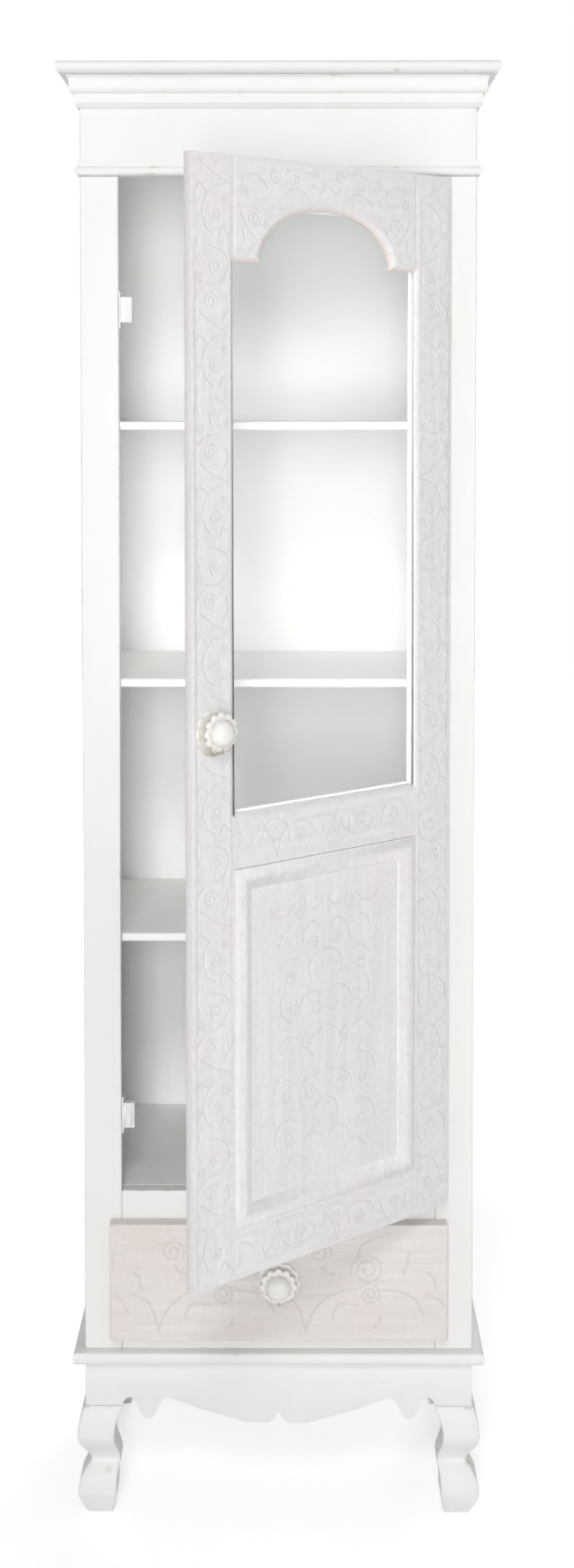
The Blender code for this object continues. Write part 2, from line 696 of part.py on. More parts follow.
def build_hinge(name, height, cabinet, door, brass):
    """Two leaves and a pin. The frame leaf has the outer knuckles and the door leaf the middle one."""
    third = HINGE_LENGTH / 3
    knuckle = third - JOINT_GAP
    low, high = -HINGE_LENGTH / 2, HINGE_LENGTH / 2
    clear = HINGE_KNUCKLE_RADIUS + HINGE_SIDE_PLAY
    leaf_t = HINGE_LEAF_THICKNESS

    z = height - DOOR_LOW
    leaf = board(
        f"hinge_{name}_door_leaf",
        (-clear - HINGE_DOOR_LEAF_WIDTH, JOINT_GAP, z + low),
        (-clear, JOINT_GAP + leaf_t, z + high),
        door,
        brass,
        ease=0.0,
    )
    strap = box_tool(
        f"hinge_{name}_door_strap",
        (-clear - leaf_t, JOINT_GAP, z - knuckle / 2),
        (-HINGE_DOOR_STRAP_END, JOINT_GAP + leaf_t, z + knuckle / 2),
        door,
    )
    combine(leaf, strap, "UNION")
    eye = cylinder(f"hinge_{name}_door_eye", (0.0, 0.0, z), HINGE_KNUCKLE_RADIUS, knuckle, door, None)
    combine(leaf, eye, "UNION")
    cut(leaf, hinge_bore(f"hinge_{name}_door_bore", (0.0, 0.0, z), door))

    face = -JOINT_GAP
    wrap = OPENING_HALF - JOINT_GAP
    frame_leaf = board(
        f"hinge_{name}_frame_leaf",
        (wrap - leaf_t, face - leaf_t, height + low),
        (AXIS_X - clear, face, height + high),
        cabinet,
        brass,
        ease=0.0,
    )
    flange = box_tool(
        f"hinge_{name}_frame_flange",
        (wrap - leaf_t, face - leaf_t / 2, height + low),
        (wrap, HINGE_FRAME_LEAF_DEPTH, height + high),
        cabinet,
    )
    combine(frame_leaf, flange, "UNION")
    for place_name, shift in (("lower", -third), ("upper", third)):
        middle = height + shift
        strap = box_tool(
            f"hinge_{name}_frame_strap_{place_name}",
            (AXIS_X - clear - leaf_t, face - leaf_t, middle - knuckle / 2),
            (AXIS_X - HINGE_FRAME_STRAP_END, face, middle + knuckle / 2),
            cabinet,
        )
        combine(frame_leaf, strap, "UNION")
        eye = cylinder(
            f"hinge_{name}_frame_eye_{place_name}",
            (AXIS_X, -DOOR_STANDOFF, middle),
            HINGE_KNUCKLE_RADIUS,
            knuckle,
            cabinet,
            None,
        )
        combine(frame_leaf, eye, "UNION")
    axis_point = (AXIS_X, -DOOR_STANDOFF, height)
    cut(frame_leaf, hinge_bore(f"hinge_{name}_frame_bore", axis_point, cabinet))
    cylinder(f"hinge_{name}_pin", axis_point, HINGE_PIN_RADIUS, HINGE_LENGTH, cabinet, brass)


def build_catch(name, height, cabinet, door, plastic, steel):
    """A magnetic catch on the lock-side stile and its strike plate on the door."""
    left = -OPENING_HALF + JOINT_GAP
    ear, half_ear, half_body = CATCH_EAR_THICKNESS, CATCH_EAR_HEIGHT / 2, CATCH_BODY_HEIGHT / 2
    outline = [
        (left, -half_ear), (left + ear, -half_ear), (left + ear, -half_body),
        (left + CATCH_WIDTH, -half_body), (left + CATCH_WIDTH, half_body), (left + ear, half_body),
        (left + ear, half_ear), (left, half_ear),
    ]
    front = -DOOR_STANDOFF + STRIKE_THICKNESS + 2 * JOINT_GAP
    lifted = [(u, v + height) for u, v in outline]
    prism("catch_" + name, lifted, "Y", front, front + CATCH_DEPTH, cabinet, plastic)
    middle = left + CATCH_WIDTH / 2 - AXIS_X
    z = height - DOOR_LOW
    board(
        "strike_plate_" + name,
        (middle - STRIKE_WIDTH / 2, JOINT_GAP, z - STRIKE_HEIGHT / 2),
        (middle + STRIKE_WIDTH / 2, JOINT_GAP + STRIKE_THICKNESS, z + STRIKE_HEIGHT / 2),
        door,
        steel,
        ease=0.0,
    )


def light_outline():
    """Outline of the glazed opening, anticlockwise seen with z up: sill, stiles, ledges and arch."""
    arch = arc((LIGHT_MIDDLE, ARCH_FOOT), ARCH_WIDTH / 2, ARCH_RISE, 0, 180, ARCH_STEPS)
    outline = [(LIGHT_LEFT, SILL), (LIGHT_RIGHT, SILL), (LIGHT_RIGHT, ARCH_FOOT)]
    return outline + arch + [(LIGHT_LEFT, ARCH_FOOT)]


def chamfer_tool(door):
    """A tapered plug of the glazed opening that moulds the edge round the glass."""
    slope = GLASS_CHAMFER_WIDTH / GLASS_CHAMFER_DEPTH
    overrun = GLASS_CHAMFER_DEPTH / 4
    rings = []
    for depth in (-overrun, GLASS_CHAMFER_DEPTH + overrun):
        outline = offset_outline(light_outline(), (GLASS_CHAMFER_DEPTH - depth) * slope)
        rings.append([(x, depth - DOOR_THICKNESS, z) for x, z in outline])
    return loft("glass_chamfer", rings, door, None)


def build_door_frame(door, carved):
    """Stiles and rails of the door, moulded round the glass and grooved for the panel."""
    front = -DOOR_THICKNESS
    stiles = [
        board("door_stile_lock", (DOOR_LEFT, front, 0.0), (LIGHT_LEFT, 0.0, DOOR_HEIGHT), door, carved),
        board("door_stile_hinge", (LIGHT_RIGHT, front, 0.0), (DOOR_RIGHT, 0.0, DOOR_HEIGHT), door, carved),
    ]
    left, right = LIGHT_LEFT + JOINT_GAP, LIGHT_RIGHT - JOINT_GAP
    arch = arc((LIGHT_MIDDLE, ARCH_FOOT), ARCH_WIDTH / 2, ARCH_RISE, 180, 0, ARCH_STEPS)
    crest = [(left, DOOR_HEIGHT), (left, ARCH_FOOT)] + arch + [(right, ARCH_FOOT), (right, DOOR_HEIGHT)]
    top = prism("door_rail_top", crest, "Y", front, 0.0, door, carved)
    lock = board("door_rail_lock", (left, front, PANEL_HIGH), (right, 0.0, SILL), door, carved)
    bottom = board("door_rail_bottom", (left, front, 0.0), (right, 0.0, PANEL_LOW), door, carved)

    groove = PANEL_TONGUE + JOINT_GAP
    spare = DOOR_TENON_SHOULDER
    for rail, low, high in (
        (top, ARCH_TOP + GLASS_REBATE + spare, DOOR_HEIGHT - 2 * spare),
        (lock, PANEL_HIGH + groove + spare, SILL - GLASS_REBATE - spare),
        (bottom, 2 * spare, PANEL_LOW - groove - spare),
    ):
        middle = DOOR_THICKNESS / 2
        tenoned(
            rail,
            stiles,
            (left, -middle - DOOR_TENON_THICKNESS / 2, low),
            (right, -middle + DOOR_TENON_THICKNESS / 2, high),
            DOOR_TENON_LENGTH,
            door,
        )

    chamfer = chamfer_tool(door)
    rebate = box_tool(
        "glass_rebate",
        (LIGHT_LEFT - GLASS_REBATE, GLASS_LIP - DOOR_THICKNESS, SILL - GLASS_REBATE),
        (LIGHT_RIGHT + GLASS_REBATE, DOOR_THICKNESS, ARCH_TOP + GLASS_REBATE),
        door,
    )
    tongue_back = -PANEL_BACK_INSET + JOINT_GAP
    slot = box_tool(
        "panel_groove",
        (LIGHT_LEFT - groove, tongue_back - PANEL_TONGUE_THICKNESS - 2 * JOINT_GAP, PANEL_LOW - groove),
        (LIGHT_RIGHT + groove, tongue_back, PANEL_HIGH + groove),
        door,
    )
    for piece in stiles + [top, lock]:
        cut(piece, rebate)
        cut(piece, chamfer)
    for piece in stiles + [lock, bottom]:
        cut(piece, slot)


def build_glazing(door, glass, paint):
    """The pane in its rebate and the four beads that hold it."""
    left, right = LIGHT_LEFT - GLASS_REBATE + JOINT_GAP, LIGHT_RIGHT + GLASS_REBATE - JOINT_GAP
    low, high = SILL - GLASS_REBATE + JOINT_GAP, ARCH_TOP + GLASS_REBATE - JOINT_GAP
    front = GLASS_LIP - DOOR_THICKNESS + JOINT_GAP
    behind = front + GLASS_THICKNESS
    board("door_glass", (left, front, low), (right, behind, high), door, glass, ease=0.0)
    bead_front, bead_back = behind + JOINT_GAP, 0.0
    inner_left, inner_right = left + BEAD_WIDTH + JOINT_GAP, right - BEAD_WIDTH - JOINT_GAP
    for name, x_range, z_range in (
        ("left", (left, left + BEAD_WIDTH), (low, high)),
        ("right", (right - BEAD_WIDTH, right), (low, high)),
        ("bottom", (inner_left, inner_right), (low, low + BEAD_WIDTH)),
        ("top", (inner_left, inner_right), (high - BEAD_WIDTH, high)),
    ):
        board(
            "glass_bead_" + name,
            (x_range[0], bead_front, z_range[0]),
            (x_range[1], bead_back, z_range[1]),
            door,
            paint,
        )


def build_panel(door, carved):
    """Lower panel: a tongued board whose raised border is moulded on both slopes."""
    face = -DOOR_THICKNESS
    tongue_front = -PANEL_BACK_INSET - PANEL_TONGUE_THICKNESS
    section = [
        (-PANEL_TONGUE, -PANEL_BACK_INSET),
        (-PANEL_TONGUE, tongue_front),
        (JOINT_GAP, tongue_front),
        (JOINT_GAP, face - PANEL_BORDER_EDGE),
    ]
    section += [(inset, face - rise) for inset, rise in PANEL_BORDER]
    section.append((PANEL_BORDER_WIDTH, face + PANEL_FIELD_DROP))
    rings = []
    for inset, y in section:
        x0, x1 = LIGHT_LEFT + inset, LIGHT_RIGHT - inset
        z0, z1 = PANEL_LOW + inset, PANEL_HIGH - inset
        rings.append([(x0, y, z0), (x1, y, z0), (x1, y, z1), (x0, y, z1)])
    loft("door_panel", rings, door, carved)


def petal_ring(radius, lift, dip):
    """Ring of a knob round -Y, pinched between its petals by a share of the radius."""
    count = KNOB_PETALS * KNOB_PETAL_SEGMENTS
    ring = []
    for i in range(count):
        angle = 2 * math.pi * i / count
        r = radius * (1 - dip * (1 - abs(math.cos(KNOB_PETALS * angle / 2))))
        ring.append((r * math.cos(angle), -lift, r * math.sin(angle)))
    return ring


def build_knob(name, location, parent, cream):
    """A scalloped back plate, a neck and a flower of petals round a domed heart, in one piece."""
    rings = [
        petal_ring(KNOB_PLATE_RADIUS, JOINT_GAP, KNOB_PETAL_DIP),
        petal_ring(KNOB_PLATE_RADIUS, KNOB_PLATE_THICKNESS / 2, KNOB_PETAL_DIP),
        petal_ring(KNOB_RIM_RADIUS, KNOB_PLATE_THICKNESS, KNOB_PETAL_DIP),
        petal_ring(KNOB_NECK_RADIUS, KNOB_PLATE_THICKNESS + JOINT_GAP, 0.0),
        petal_ring(KNOB_NECK_RADIUS, KNOB_RIM_LOW - JOINT_GAP, 0.0),
        petal_ring(KNOB_RIM_RADIUS, KNOB_RIM_LOW, KNOB_PETAL_DIP),
        petal_ring(KNOB_RIM_RADIUS, KNOB_RIM_HIGH, KNOB_PETAL_DIP),
        petal_ring(KNOB_CUP_RADIUS, KNOB_CUP_HEIGHT, KNOB_PETAL_DIP),
        petal_ring(KNOB_DOME_RADIUS, KNOB_RIM_HIGH, 0.0),
    ]
    dome = KNOB_HEIGHT - KNOB_RIM_HIGH
    for angle in KNOB_DOME_ANGLES:
        turn = math.radians(angle)
        lift = KNOB_RIM_HIGH + dome * math.sin(turn)
        rings.append(petal_ring(KNOB_DOME_RADIUS * math.cos(turn), lift, 0.0))
    loft(name, rings, parent, cream, location)


def build_drawer(drawer, carved, bare_wood, cream):
    """Drawer box with an overlaid front."""
    half = OPENING_HALF - DRAWER_CLEARANCE
    low = DRAWER_OPENING_LOW + JOINT_GAP
    high = DRAWER_OPENING_HIGH - DRAWER_TOP_CLEARANCE
    front_half = OPENING_HALF + DRAWER_OVERLAY_SIDE
    front_low = DRAWER_OPENING_LOW - DRAWER_OVERLAY_LOW
    front_high = DRAWER_OPENING_HIGH + DRAWER_OVERLAY_HIGH
    face = -JOINT_GAP - DRAWER_FRONT_THICKNESS
    low_corner, high_corner = (-front_half, face, front_low), (front_half, -JOINT_GAP, front_high)
    board("drawer_front", low_corner, high_corner, drawer, carved)

    groove_low = low + DRAWER_BOTTOM_RISE - JOINT_GAP
    groove_high = groove_low + DRAWER_BOTTOM_THICKNESS + 2 * JOINT_GAP
    inner = half - DRAWER_SIDE_THICKNESS
    section = [
        (inner, low), (half, low), (half, high), (inner, high), (inner, groove_high),
        (inner + DRAWER_GROOVE, groove_high), (inner + DRAWER_GROOVE, groove_low), (inner, groove_low),
    ]
    for side, sign in (("left", -1), ("right", 1)):
        outline = [(sign * u, v) for u, v in section]
        prism("drawer_side_" + side, outline, "Y", 0.0, DRAWER_DEPTH, drawer, bare_wood)
    bottom_low = groove_low + JOINT_GAP
    bottom_high = bottom_low + DRAWER_BOTTOM_THICKNESS
    bottom_half = inner + DRAWER_GROOVE - JOINT_GAP
    board(
        "drawer_bottom", (-bottom_half, 0.0, bottom_low), (bottom_half, DRAWER_DEPTH, bottom_high),
        drawer, bare_wood, ease=0.0,
    )
    board(
        "drawer_back",
        (-inner + JOINT_GAP, DRAWER_DEPTH - DRAWER_SIDE_THICKNESS, bottom_high + JOINT_GAP),
        (inner - JOINT_GAP, DRAWER_DEPTH, high - DRAWER_BACK_DROP),
        drawer,
        bare_wood,
    )
    build_knob("drawer_knob", (0.0, face, (front_low + front_high) / 2), drawer, cream)


def main():
    """Build the whole cabinet."""
    clear_scene()
    paint = finish("white_paint", (0.86, 0.86, 0.84), 0.55)
    carved = finish("whitewashed_carving", (0.76, 0.73, 0.71), 0.70)
    bare_wood = finish("drawer_wood", (0.72, 0.64, 0.52), 0.65)
    cream = finish("cream_knob", (0.80, 0.77, 0.68), 0.45)
    glass = finish("clear_glass", (0.92, 0.95, 0.94), 0.05, alpha=0.25)
    brass = finish("hinge_brass", (0.70, 0.58, 0.34), 0.35, metallic=1.0)
    steel = finish("strike_steel", (0.62, 0.62, 0.63), 0.35, metallic=1.0)
    plastic = finish("catch_plastic", (0.85, 0.85, 0.84), 0.40)

    cabinet = empty("cabinet", None, (0.0, FACE_Y, 0.0))
    door = empty("door_axis", cabinet, (AXIS_X, -DOOR_STANDOFF, DOOR_LOW), DOOR_REST_ANGLE)
    drawer = empty("drawer_slide", cabinet, (0.0, 0.0, 0.0))

    build_carcass(cabinet, paint)
    build_face_frame(cabinet, paint)
    build_crown(cabinet, paint)
    build_base(cabinet, paint)
    build_runners(cabinet, bare_wood)
    build_door_frame(door, carved)
    build_glazing(door, glass, paint)
    build_panel(door, carved)
    build_knob("door_knob", (-KNOB_FROM_AXIS, -DOOR_THICKNESS, DOOR_KNOB_HEIGHT), door, cream)
    door_high = DOOR_LOW + DOOR_HEIGHT
    build_hinge("upper", door_high - HINGE_INSET, cabinet, door, brass)
    build_hinge("lower", DOOR_LOW + HINGE_INSET, cabinet, door, brass)
    build_catch("upper", door_high - CATCH_TOP_INSET, cabinet, door, plastic, steel)
    build_catch("lower", DOOR_LOW + CATCH_BOTTOM_INSET, cabinet, door, plastic, steel)
    build_drawer(drawer, carved, bare_wood, cream)


main()
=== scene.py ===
"""Looks of a tall white cabinet with a carved, glazed door standing ajar over a drawer."""

import json
import logging
import math
from dataclasses import dataclass, field
from enum import Enum
from typing import Callable, Iterable, Sequence

import bmesh
import bpy
from mathutils import Euler, Matrix, Vector
from mathutils.kdtree import KDTree


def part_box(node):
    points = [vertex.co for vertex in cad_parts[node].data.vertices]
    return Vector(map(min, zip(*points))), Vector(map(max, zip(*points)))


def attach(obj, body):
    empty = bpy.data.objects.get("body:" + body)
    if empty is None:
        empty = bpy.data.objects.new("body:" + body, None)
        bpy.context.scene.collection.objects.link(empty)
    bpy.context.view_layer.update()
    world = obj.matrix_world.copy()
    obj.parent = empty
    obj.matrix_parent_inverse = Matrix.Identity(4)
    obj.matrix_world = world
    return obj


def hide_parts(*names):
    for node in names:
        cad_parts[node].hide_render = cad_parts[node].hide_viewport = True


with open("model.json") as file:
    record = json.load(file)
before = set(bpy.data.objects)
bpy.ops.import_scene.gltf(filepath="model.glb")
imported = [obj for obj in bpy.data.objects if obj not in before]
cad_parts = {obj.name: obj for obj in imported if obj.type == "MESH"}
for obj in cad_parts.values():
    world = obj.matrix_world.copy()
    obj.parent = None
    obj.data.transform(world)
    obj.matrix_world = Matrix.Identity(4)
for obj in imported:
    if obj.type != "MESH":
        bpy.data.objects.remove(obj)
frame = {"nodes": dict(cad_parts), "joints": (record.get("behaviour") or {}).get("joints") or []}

LOG = logging.getLogger("cabinet")
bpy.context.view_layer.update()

Point = tuple[float, float]
Stroke = list[Point]
Colour = tuple[float, float, float]
Piece = bpy.types.Object
Material = bpy.types.Material
Socket = bpy.types.NodeSocket
Value = Socket | float
Tint = Socket | Colour

NEAR = 1e-5  # metres within which two places are the same
FRONTWARD = -0.9  # a face looks along -Y if the y of its normal is below this
PER_METRE = 1000  # millimetres


class Body(Enum):
    """Rigid bodies of the cabinet."""

    CARCASS = "carcass"
    DOOR = "door"
    DRAWER = "drawer"


class Slot(Enum):
    """Kinds of finish of the modelled pieces; hand_over takes one but does not use it."""

    PAINT = "white_paint"
    CARVING = "whitewashed_carving"
    KNOB = "cream_knob"
    STEEL = "strike_steel"
    PLASTIC = "catch_plastic"


class Grain(Enum):
    """Direction of the wood grain in the frame of a board."""

    UPRIGHT = (1.0, 1.0, 0.06)
    LEVEL = (0.06, 1.0, 1.0)


JOINTS = {joint["name"]: joint for joint in frame["joints"]}
DOOR_ANGLE = math.radians(-JOINTS["door_hinge"]["range_deg"][0])
DOOR_AXIS = Vector((JOINTS["door_hinge"]["pos_m"][0], JOINTS["door_hinge"]["pos_m"][1], 0.0))
DOOR_PLACE = Matrix.Translation(DOOR_AXIS) @ Matrix.Rotation(DOOR_ANGLE, 4, "Z")


class Bench:
    """Blender operators used as a workbench."""

    @staticmethod
    def select_only(piece: Piece) -> None:
        """Make one object the only selected and the active one.

        Args:
            piece: The object.
        """
        bpy.ops.object.select_all(action="DESELECT")
        piece.select_set(True)
        bpy.context.view_layer.objects.active = piece

    @staticmethod
    def block(name: str, low: Sequence[float], high: Sequence[float]) -> Piece:
        """Add a cube stretched between two corners.

        Args:
            name: Name of the object.
            low: Lowest corner.
            high: Highest corner.

        Returns:
            The object, with its size in its mesh.
        """
        low_corner, high_corner = Vector(low), Vector(high)
        bpy.ops.mesh.primitive_cube_add(size=1.0, location=(low_corner + high_corner) / 2)
        bpy.context.active_object.scale = high_corner - low_corner
        return Bench.take(name)

    @staticmethod
    def rod(name: str, centre: Sequence[float], radius: float, height: float, sides: int) -> Piece:
        """Add a cylinder that lies along Y.

        Args:
            name: Name of the object.
            centre: Middle of the cylinder.
            radius: Radius.
            height: Length along Y.
            sides: Number of sides.

        Returns:
            The object, with its place in its mesh.
        """
        bpy.ops.mesh.primitive_cylinder_add(
            vertices=sides, radius=radius, depth=height, location=centre, rotation=(math.pi / 2, 0.0, 0.0)
        )
        return Bench.take(name)

    @staticmethod
    def rest(piece: Piece) -> None:
        """Put an object's place, turn and size into its mesh."""
        Bench.select_only(piece)
        bpy.ops.object.transform_apply(location=True, rotation=True, scale=True)

    @staticmethod
    def take(name: str) -> Piece:
        """Name the object just added and put its place, turn and size into its mesh.

        Args:
            name: Name of the object.

        Returns:
            The object.
        """
        piece = bpy.context.active_object
        piece.name = name
        Bench.rest(piece)
        return piece

    @staticmethod
    def move(piece: Piece, place: Matrix) -> None:
        """Carry a piece from its own frame to its place on the cabinet."""
        piece.matrix_world = place @ piece.matrix_world
        Bench.rest(piece)

    @staticmethod
    def edit(piece: Piece, mode: str) -> bmesh.types.BMesh:
        """Open a piece in edit mode with nothing selected.

        Args:
            piece: Object to open.
            mode: VERT, EDGE or FACE.

        Returns:
            The edit mesh.
        """
        Bench.select_only(piece)
        bpy.ops.object.mode_set(mode="EDIT")
        bpy.ops.mesh.select_mode(type=mode)
        bpy.ops.mesh.select_all(action="DESELECT")
        return bmesh.from_edit_mesh(piece.data)

    @staticmethod
    def close() -> None:
        """Leave edit mode with all faces pointing outwards."""
        bpy.ops.mesh.select_all(action="SELECT")
        bpy.ops.mesh.normals_make_consistent(inside=False)
        bpy.ops.object.mode_set(mode="OBJECT")

    @staticmethod
    def apply(piece: Piece) -> None:
        """Apply every modifier of a piece, in order.

        Args:
            piece: The piece.
        """
        Bench.select_only(piece)
        for modifier in list(piece.modifiers):
            bpy.ops.object.modifier_apply(modifier=modifier.name)

    @staticmethod
    def cut(piece: Piece, tools: Iterable[Piece]) -> None:
        """Cut tools out of a piece.

        Args:
            piece: The piece.
            tools: Closed solids to take away.
        """
        for tool in tools:
            boolean = piece.modifiers.new(tool.name, "BOOLEAN")
            boolean.object = tool
            boolean.operation = "DIFFERENCE"
            boolean.solver = "EXACT"
        Bench.apply(piece)

    @staticmethod
    def soften(piece: Piece, width: float, segments: int = 2, angle: float = 40.0) -> None:
        """Round the sharp edges of a piece and shade it smooth.

        Args:
            piece: The piece.
            width: Width of the rounding.
            segments: Facets across it.
            angle: Degrees from which an edge is sharp.
        """
        bevel = piece.modifiers.new("soft_edges", "BEVEL")
        bevel.width = width
        bevel.segments = segments
        bevel.limit_method = "ANGLE"
        bevel.angle_limit = math.radians(angle)
        Bench.apply(piece)
        bpy.ops.object.shade_smooth_by_angle(angle=math.radians(angle))

    @staticmethod
    def discard(pieces: Iterable[Piece]) -> None:
        """Remove tools that are no longer needed."""
        for piece in pieces:
            bpy.data.objects.remove(piece)

    @staticmethod
    def inset_front(piece: Piece, steps: Iterable[Point]) -> None:
        """Draw rectangles within each other on the face that looks along -Y.

        Args:
            piece: The piece.
            steps: Width of the border round each rectangle, and how far the rectangle rises.
        """
        mesh = Bench.edit(piece, "FACE")
        for face in mesh.faces:
            face.select_set(face.normal.y < FRONTWARD)
        for thickness, depth in steps:
            bpy.ops.mesh.inset(thickness=thickness, depth=depth)
        Bench.close()

    @staticmethod
    def grid_front(
        piece: Piece, face: float, low: Point, high: Point, pitch: float, border: float = 0.0
    ) -> None:
        """Cut a rectangle on a face that looks along -Y into a fine grid, in two passes of equal cuts.

        Args:
            piece: The piece.
            face: Y of the face.
            low: Lowest corner of the rectangle as (x, z).
            high: Highest corner of the rectangle as (x, z).
            pitch: Size of a cell.
            border: Width of the edge that stays plain.
        """
        low, high = (low[0] + border, low[1] + border), (high[0] - border, high[1] - border)
        Bench.edit(piece, "EDGE")
        for axis, run in ((0, high[0] - low[0]), (2, high[1] - low[1])):
            cuts = round(math.sqrt(run / pitch)) - 1
            for _ in range(2):
                bpy.ops.mesh.select_all(action="DESELECT")
                mesh = bmesh.from_edit_mesh(piece.data)
                inside = {
                    vertex
                    for vertex in mesh.verts
                    if abs(vertex.co.y - face) < NEAR
                    and low[0] - NEAR < vertex.co.x < high[0] + NEAR
                    and low[1] - NEAR < vertex.co.z < high[1] + NEAR
                }
                for edge in mesh.edges:
                    first, second = edge.verts
                    if first in inside and second in inside:
                        edge.select_set(abs(second.co[axis] - first.co[axis]) > NEAR)
                bpy.ops.mesh.subdivide(number_cuts=cuts)
        Bench.close()

    @staticmethod
    def hand_over(piece: Piece, body: Body, slot: Slot, material: Material, *nodes: str) -> None:
        """Dress a finished piece and hang it on its body.

        Args:
            piece: The piece.
            body: Body it rides on.
            slot: Not used.
            material: Its finish.
            nodes: CAD nodes that it stands for.
        """
        piece.data.materials.clear()
        piece.data.materials.append(material)
        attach(piece, body.value)
        if nodes:
            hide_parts(*nodes)
        LOG.info("%s on %s", piece.name, body.value)


class Shader:
    """A material's node tree with short ways to add nodes."""

    NOISE_RANGE: Point = (0.3, 0.7)

    def __init__(self, name: str, turned: bool = False) -> None:
        """Start a material with its Principled shader.

        Args:
            name: Name of the material.
            turned: Whether its pieces are on the door, so that its patterns follow the door.
        """
        self.turned = turned
        self.material = bpy.data.materials.new(name)
        self.material.use_nodes = True
        self.tree = self.material.node_tree
        self.surface = self.tree.nodes["Principled BSDF"]

    def node(self, kind: str, **settings: object) -> bpy.types.ShaderNode:
        """Add a node and set its properties.

        Args:
            kind: Type of the node.
            settings: Its properties by name.

        Returns:
            The node.
        """
        made = self.tree.nodes.new(kind)
        for name, value in settings.items():
            setattr(made, name, value)
        return made

    def link(self, source: Socket, target: Socket) -> None:
        """Join two sockets."""
        self.tree.links.new(source, target)

    def coordinates(self, scale: Sequence[float]) -> Socket:
        """Object coordinates, in the shut door's own frame where turned, times a scale.

        Args:
            scale: Scale on each axis.

        Returns:
            The vector socket.
        """
        socket = self.node("ShaderNodeTexCoord").outputs["Object"]
        if self.turned:
            unturn = self.node("ShaderNodeMapping")
            unturn.inputs["Rotation"].default_value = Euler((0.0, 0.0, -DOOR_ANGLE))
            unturn.inputs["Location"].default_value = Matrix.Rotation(-DOOR_ANGLE, 3, "Z") @ -DOOR_AXIS
            self.link(socket, unturn.inputs["Vector"])
            socket = unturn.outputs["Vector"]
        stretch = self.node("ShaderNodeMapping")
        stretch.inputs["Scale"].default_value = scale
        self.link(socket, stretch.inputs["Vector"])
        return stretch.outputs["Vector"]

    def noise(self, scale: Sequence[float], detail: float, rough: float = 0.55) -> Socket:
        """Fractal noise.

        Args:
            scale: Scale on each axis.
            detail: Octaves.
            rough: Share that each octave keeps.

        Returns:
            The noise, about 0.5.
        """
        made = self.node("ShaderNodeTexNoise")
        made.inputs["Scale"].default_value = 1.0
        made.inputs["Detail"].default_value = detail
        made.inputs["Roughness"].default_value = rough
        self.link(self.coordinates(scale), made.inputs["Vector"])
        return made.outputs["Fac"]

    def ramp(self, factor: Socket, stops: Sequence[tuple[float, Colour]]) -> Socket:
        """Colour ramp between two stops.

        Args:
            factor: Place on the ramp.
            stops: Positions and colours.

        Returns:
            The colour.
        """
        made = self.node("ShaderNodeValToRGB")
        for element, (position, colour) in zip(made.color_ramp.elements, stops):
            element.position = position
            element.color = (*colour, 1.0)
        self.link(factor, made.inputs["Fac"])
        return made.outputs["Color"]

    def level(self, factor: Socket, low: float, high: float, to_low: float, to_high: float) -> Socket:
        """Remap a value between two ranges, with both ends held.

        Args:
            factor: The value.
            low: Low end of its range.
            high: High end of its range.
            to_low: New low end.
            to_high: New high end.

        Returns:
            The new value.
        """
        made = self.node("ShaderNodeMapRange")
        for name, value in (("From Min", low), ("From Max", high), ("To Min", to_low), ("To Max", to_high)):
            made.inputs[name].default_value = value
        self.link(factor, made.inputs["Value"])
        return made.outputs["Result"]

    def mix(self, factor: Socket, first: Tint, second: Tint) -> Socket:
        """Mix two colours, given as sockets or values.

        Args:
            factor: Share of the second.
            first: First colour.
            second: Second colour.

        Returns:
            The mixed colour.
        """
        made = self.node("ShaderNodeMix", data_type="RGBA")
        self.link(factor, made.inputs[0])
        for socket, value in ((made.inputs[6], first), (made.inputs[7], second)):
            if isinstance(value, tuple):
                socket.default_value = (*value, 1.0)
            else:
                self.link(value, socket)
        return made.outputs[2]

    def math(self, operation: str, first: Socket, second: Value) -> Socket:
        """Combine a value with another value or a number.

        Args:
            operation: Name of the operation.
            first: The value.
            second: The other value or number.

        Returns:
            The result.
        """
        made = self.node("ShaderNodeMath", operation=operation)
        self.link(first, made.inputs[0])
        if isinstance(second, float):
            made.inputs[1].default_value = second
        else:
            self.link(second, made.inputs[1])
        return made.outputs[0]

    def attribute(self, name: str) -> Socket:
        """A number stored on the piece's vertices."""
        return self.node("ShaderNodeAttribute", attribute_name=name).outputs["Fac"]

    def bump(self, height: Socket, strength: float, distance: float) -> None:
        """Feed a height into the surface normal.

        Args:
            height: The height.
            strength: Share of the effect.
            distance: Depth of the relief.
        """
        made = self.node("ShaderNodeBump")
        made.inputs["Strength"].default_value = strength
        made.inputs["Distance"].default_value = distance
        self.link(height, made.inputs["Height"])
        self.link(made.outputs["Normal"], self.surface.inputs["Normal"])

    def colour(self, socket: Socket) -> None:
        """Use a socket as the base colour."""
        self.link(socket, self.surface.inputs["Base Color"])

    def roughness(self, noise: Socket, low: float, high: float) -> None:
        """Let the roughness follow a noise.

        Args:
            noise: The noise.
            low: Roughness where it is low.
            high: Roughness where it is high.
        """
        self.link(self.level(noise, *self.NOISE_RANGE, low, high), self.surface.inputs["Roughness"])


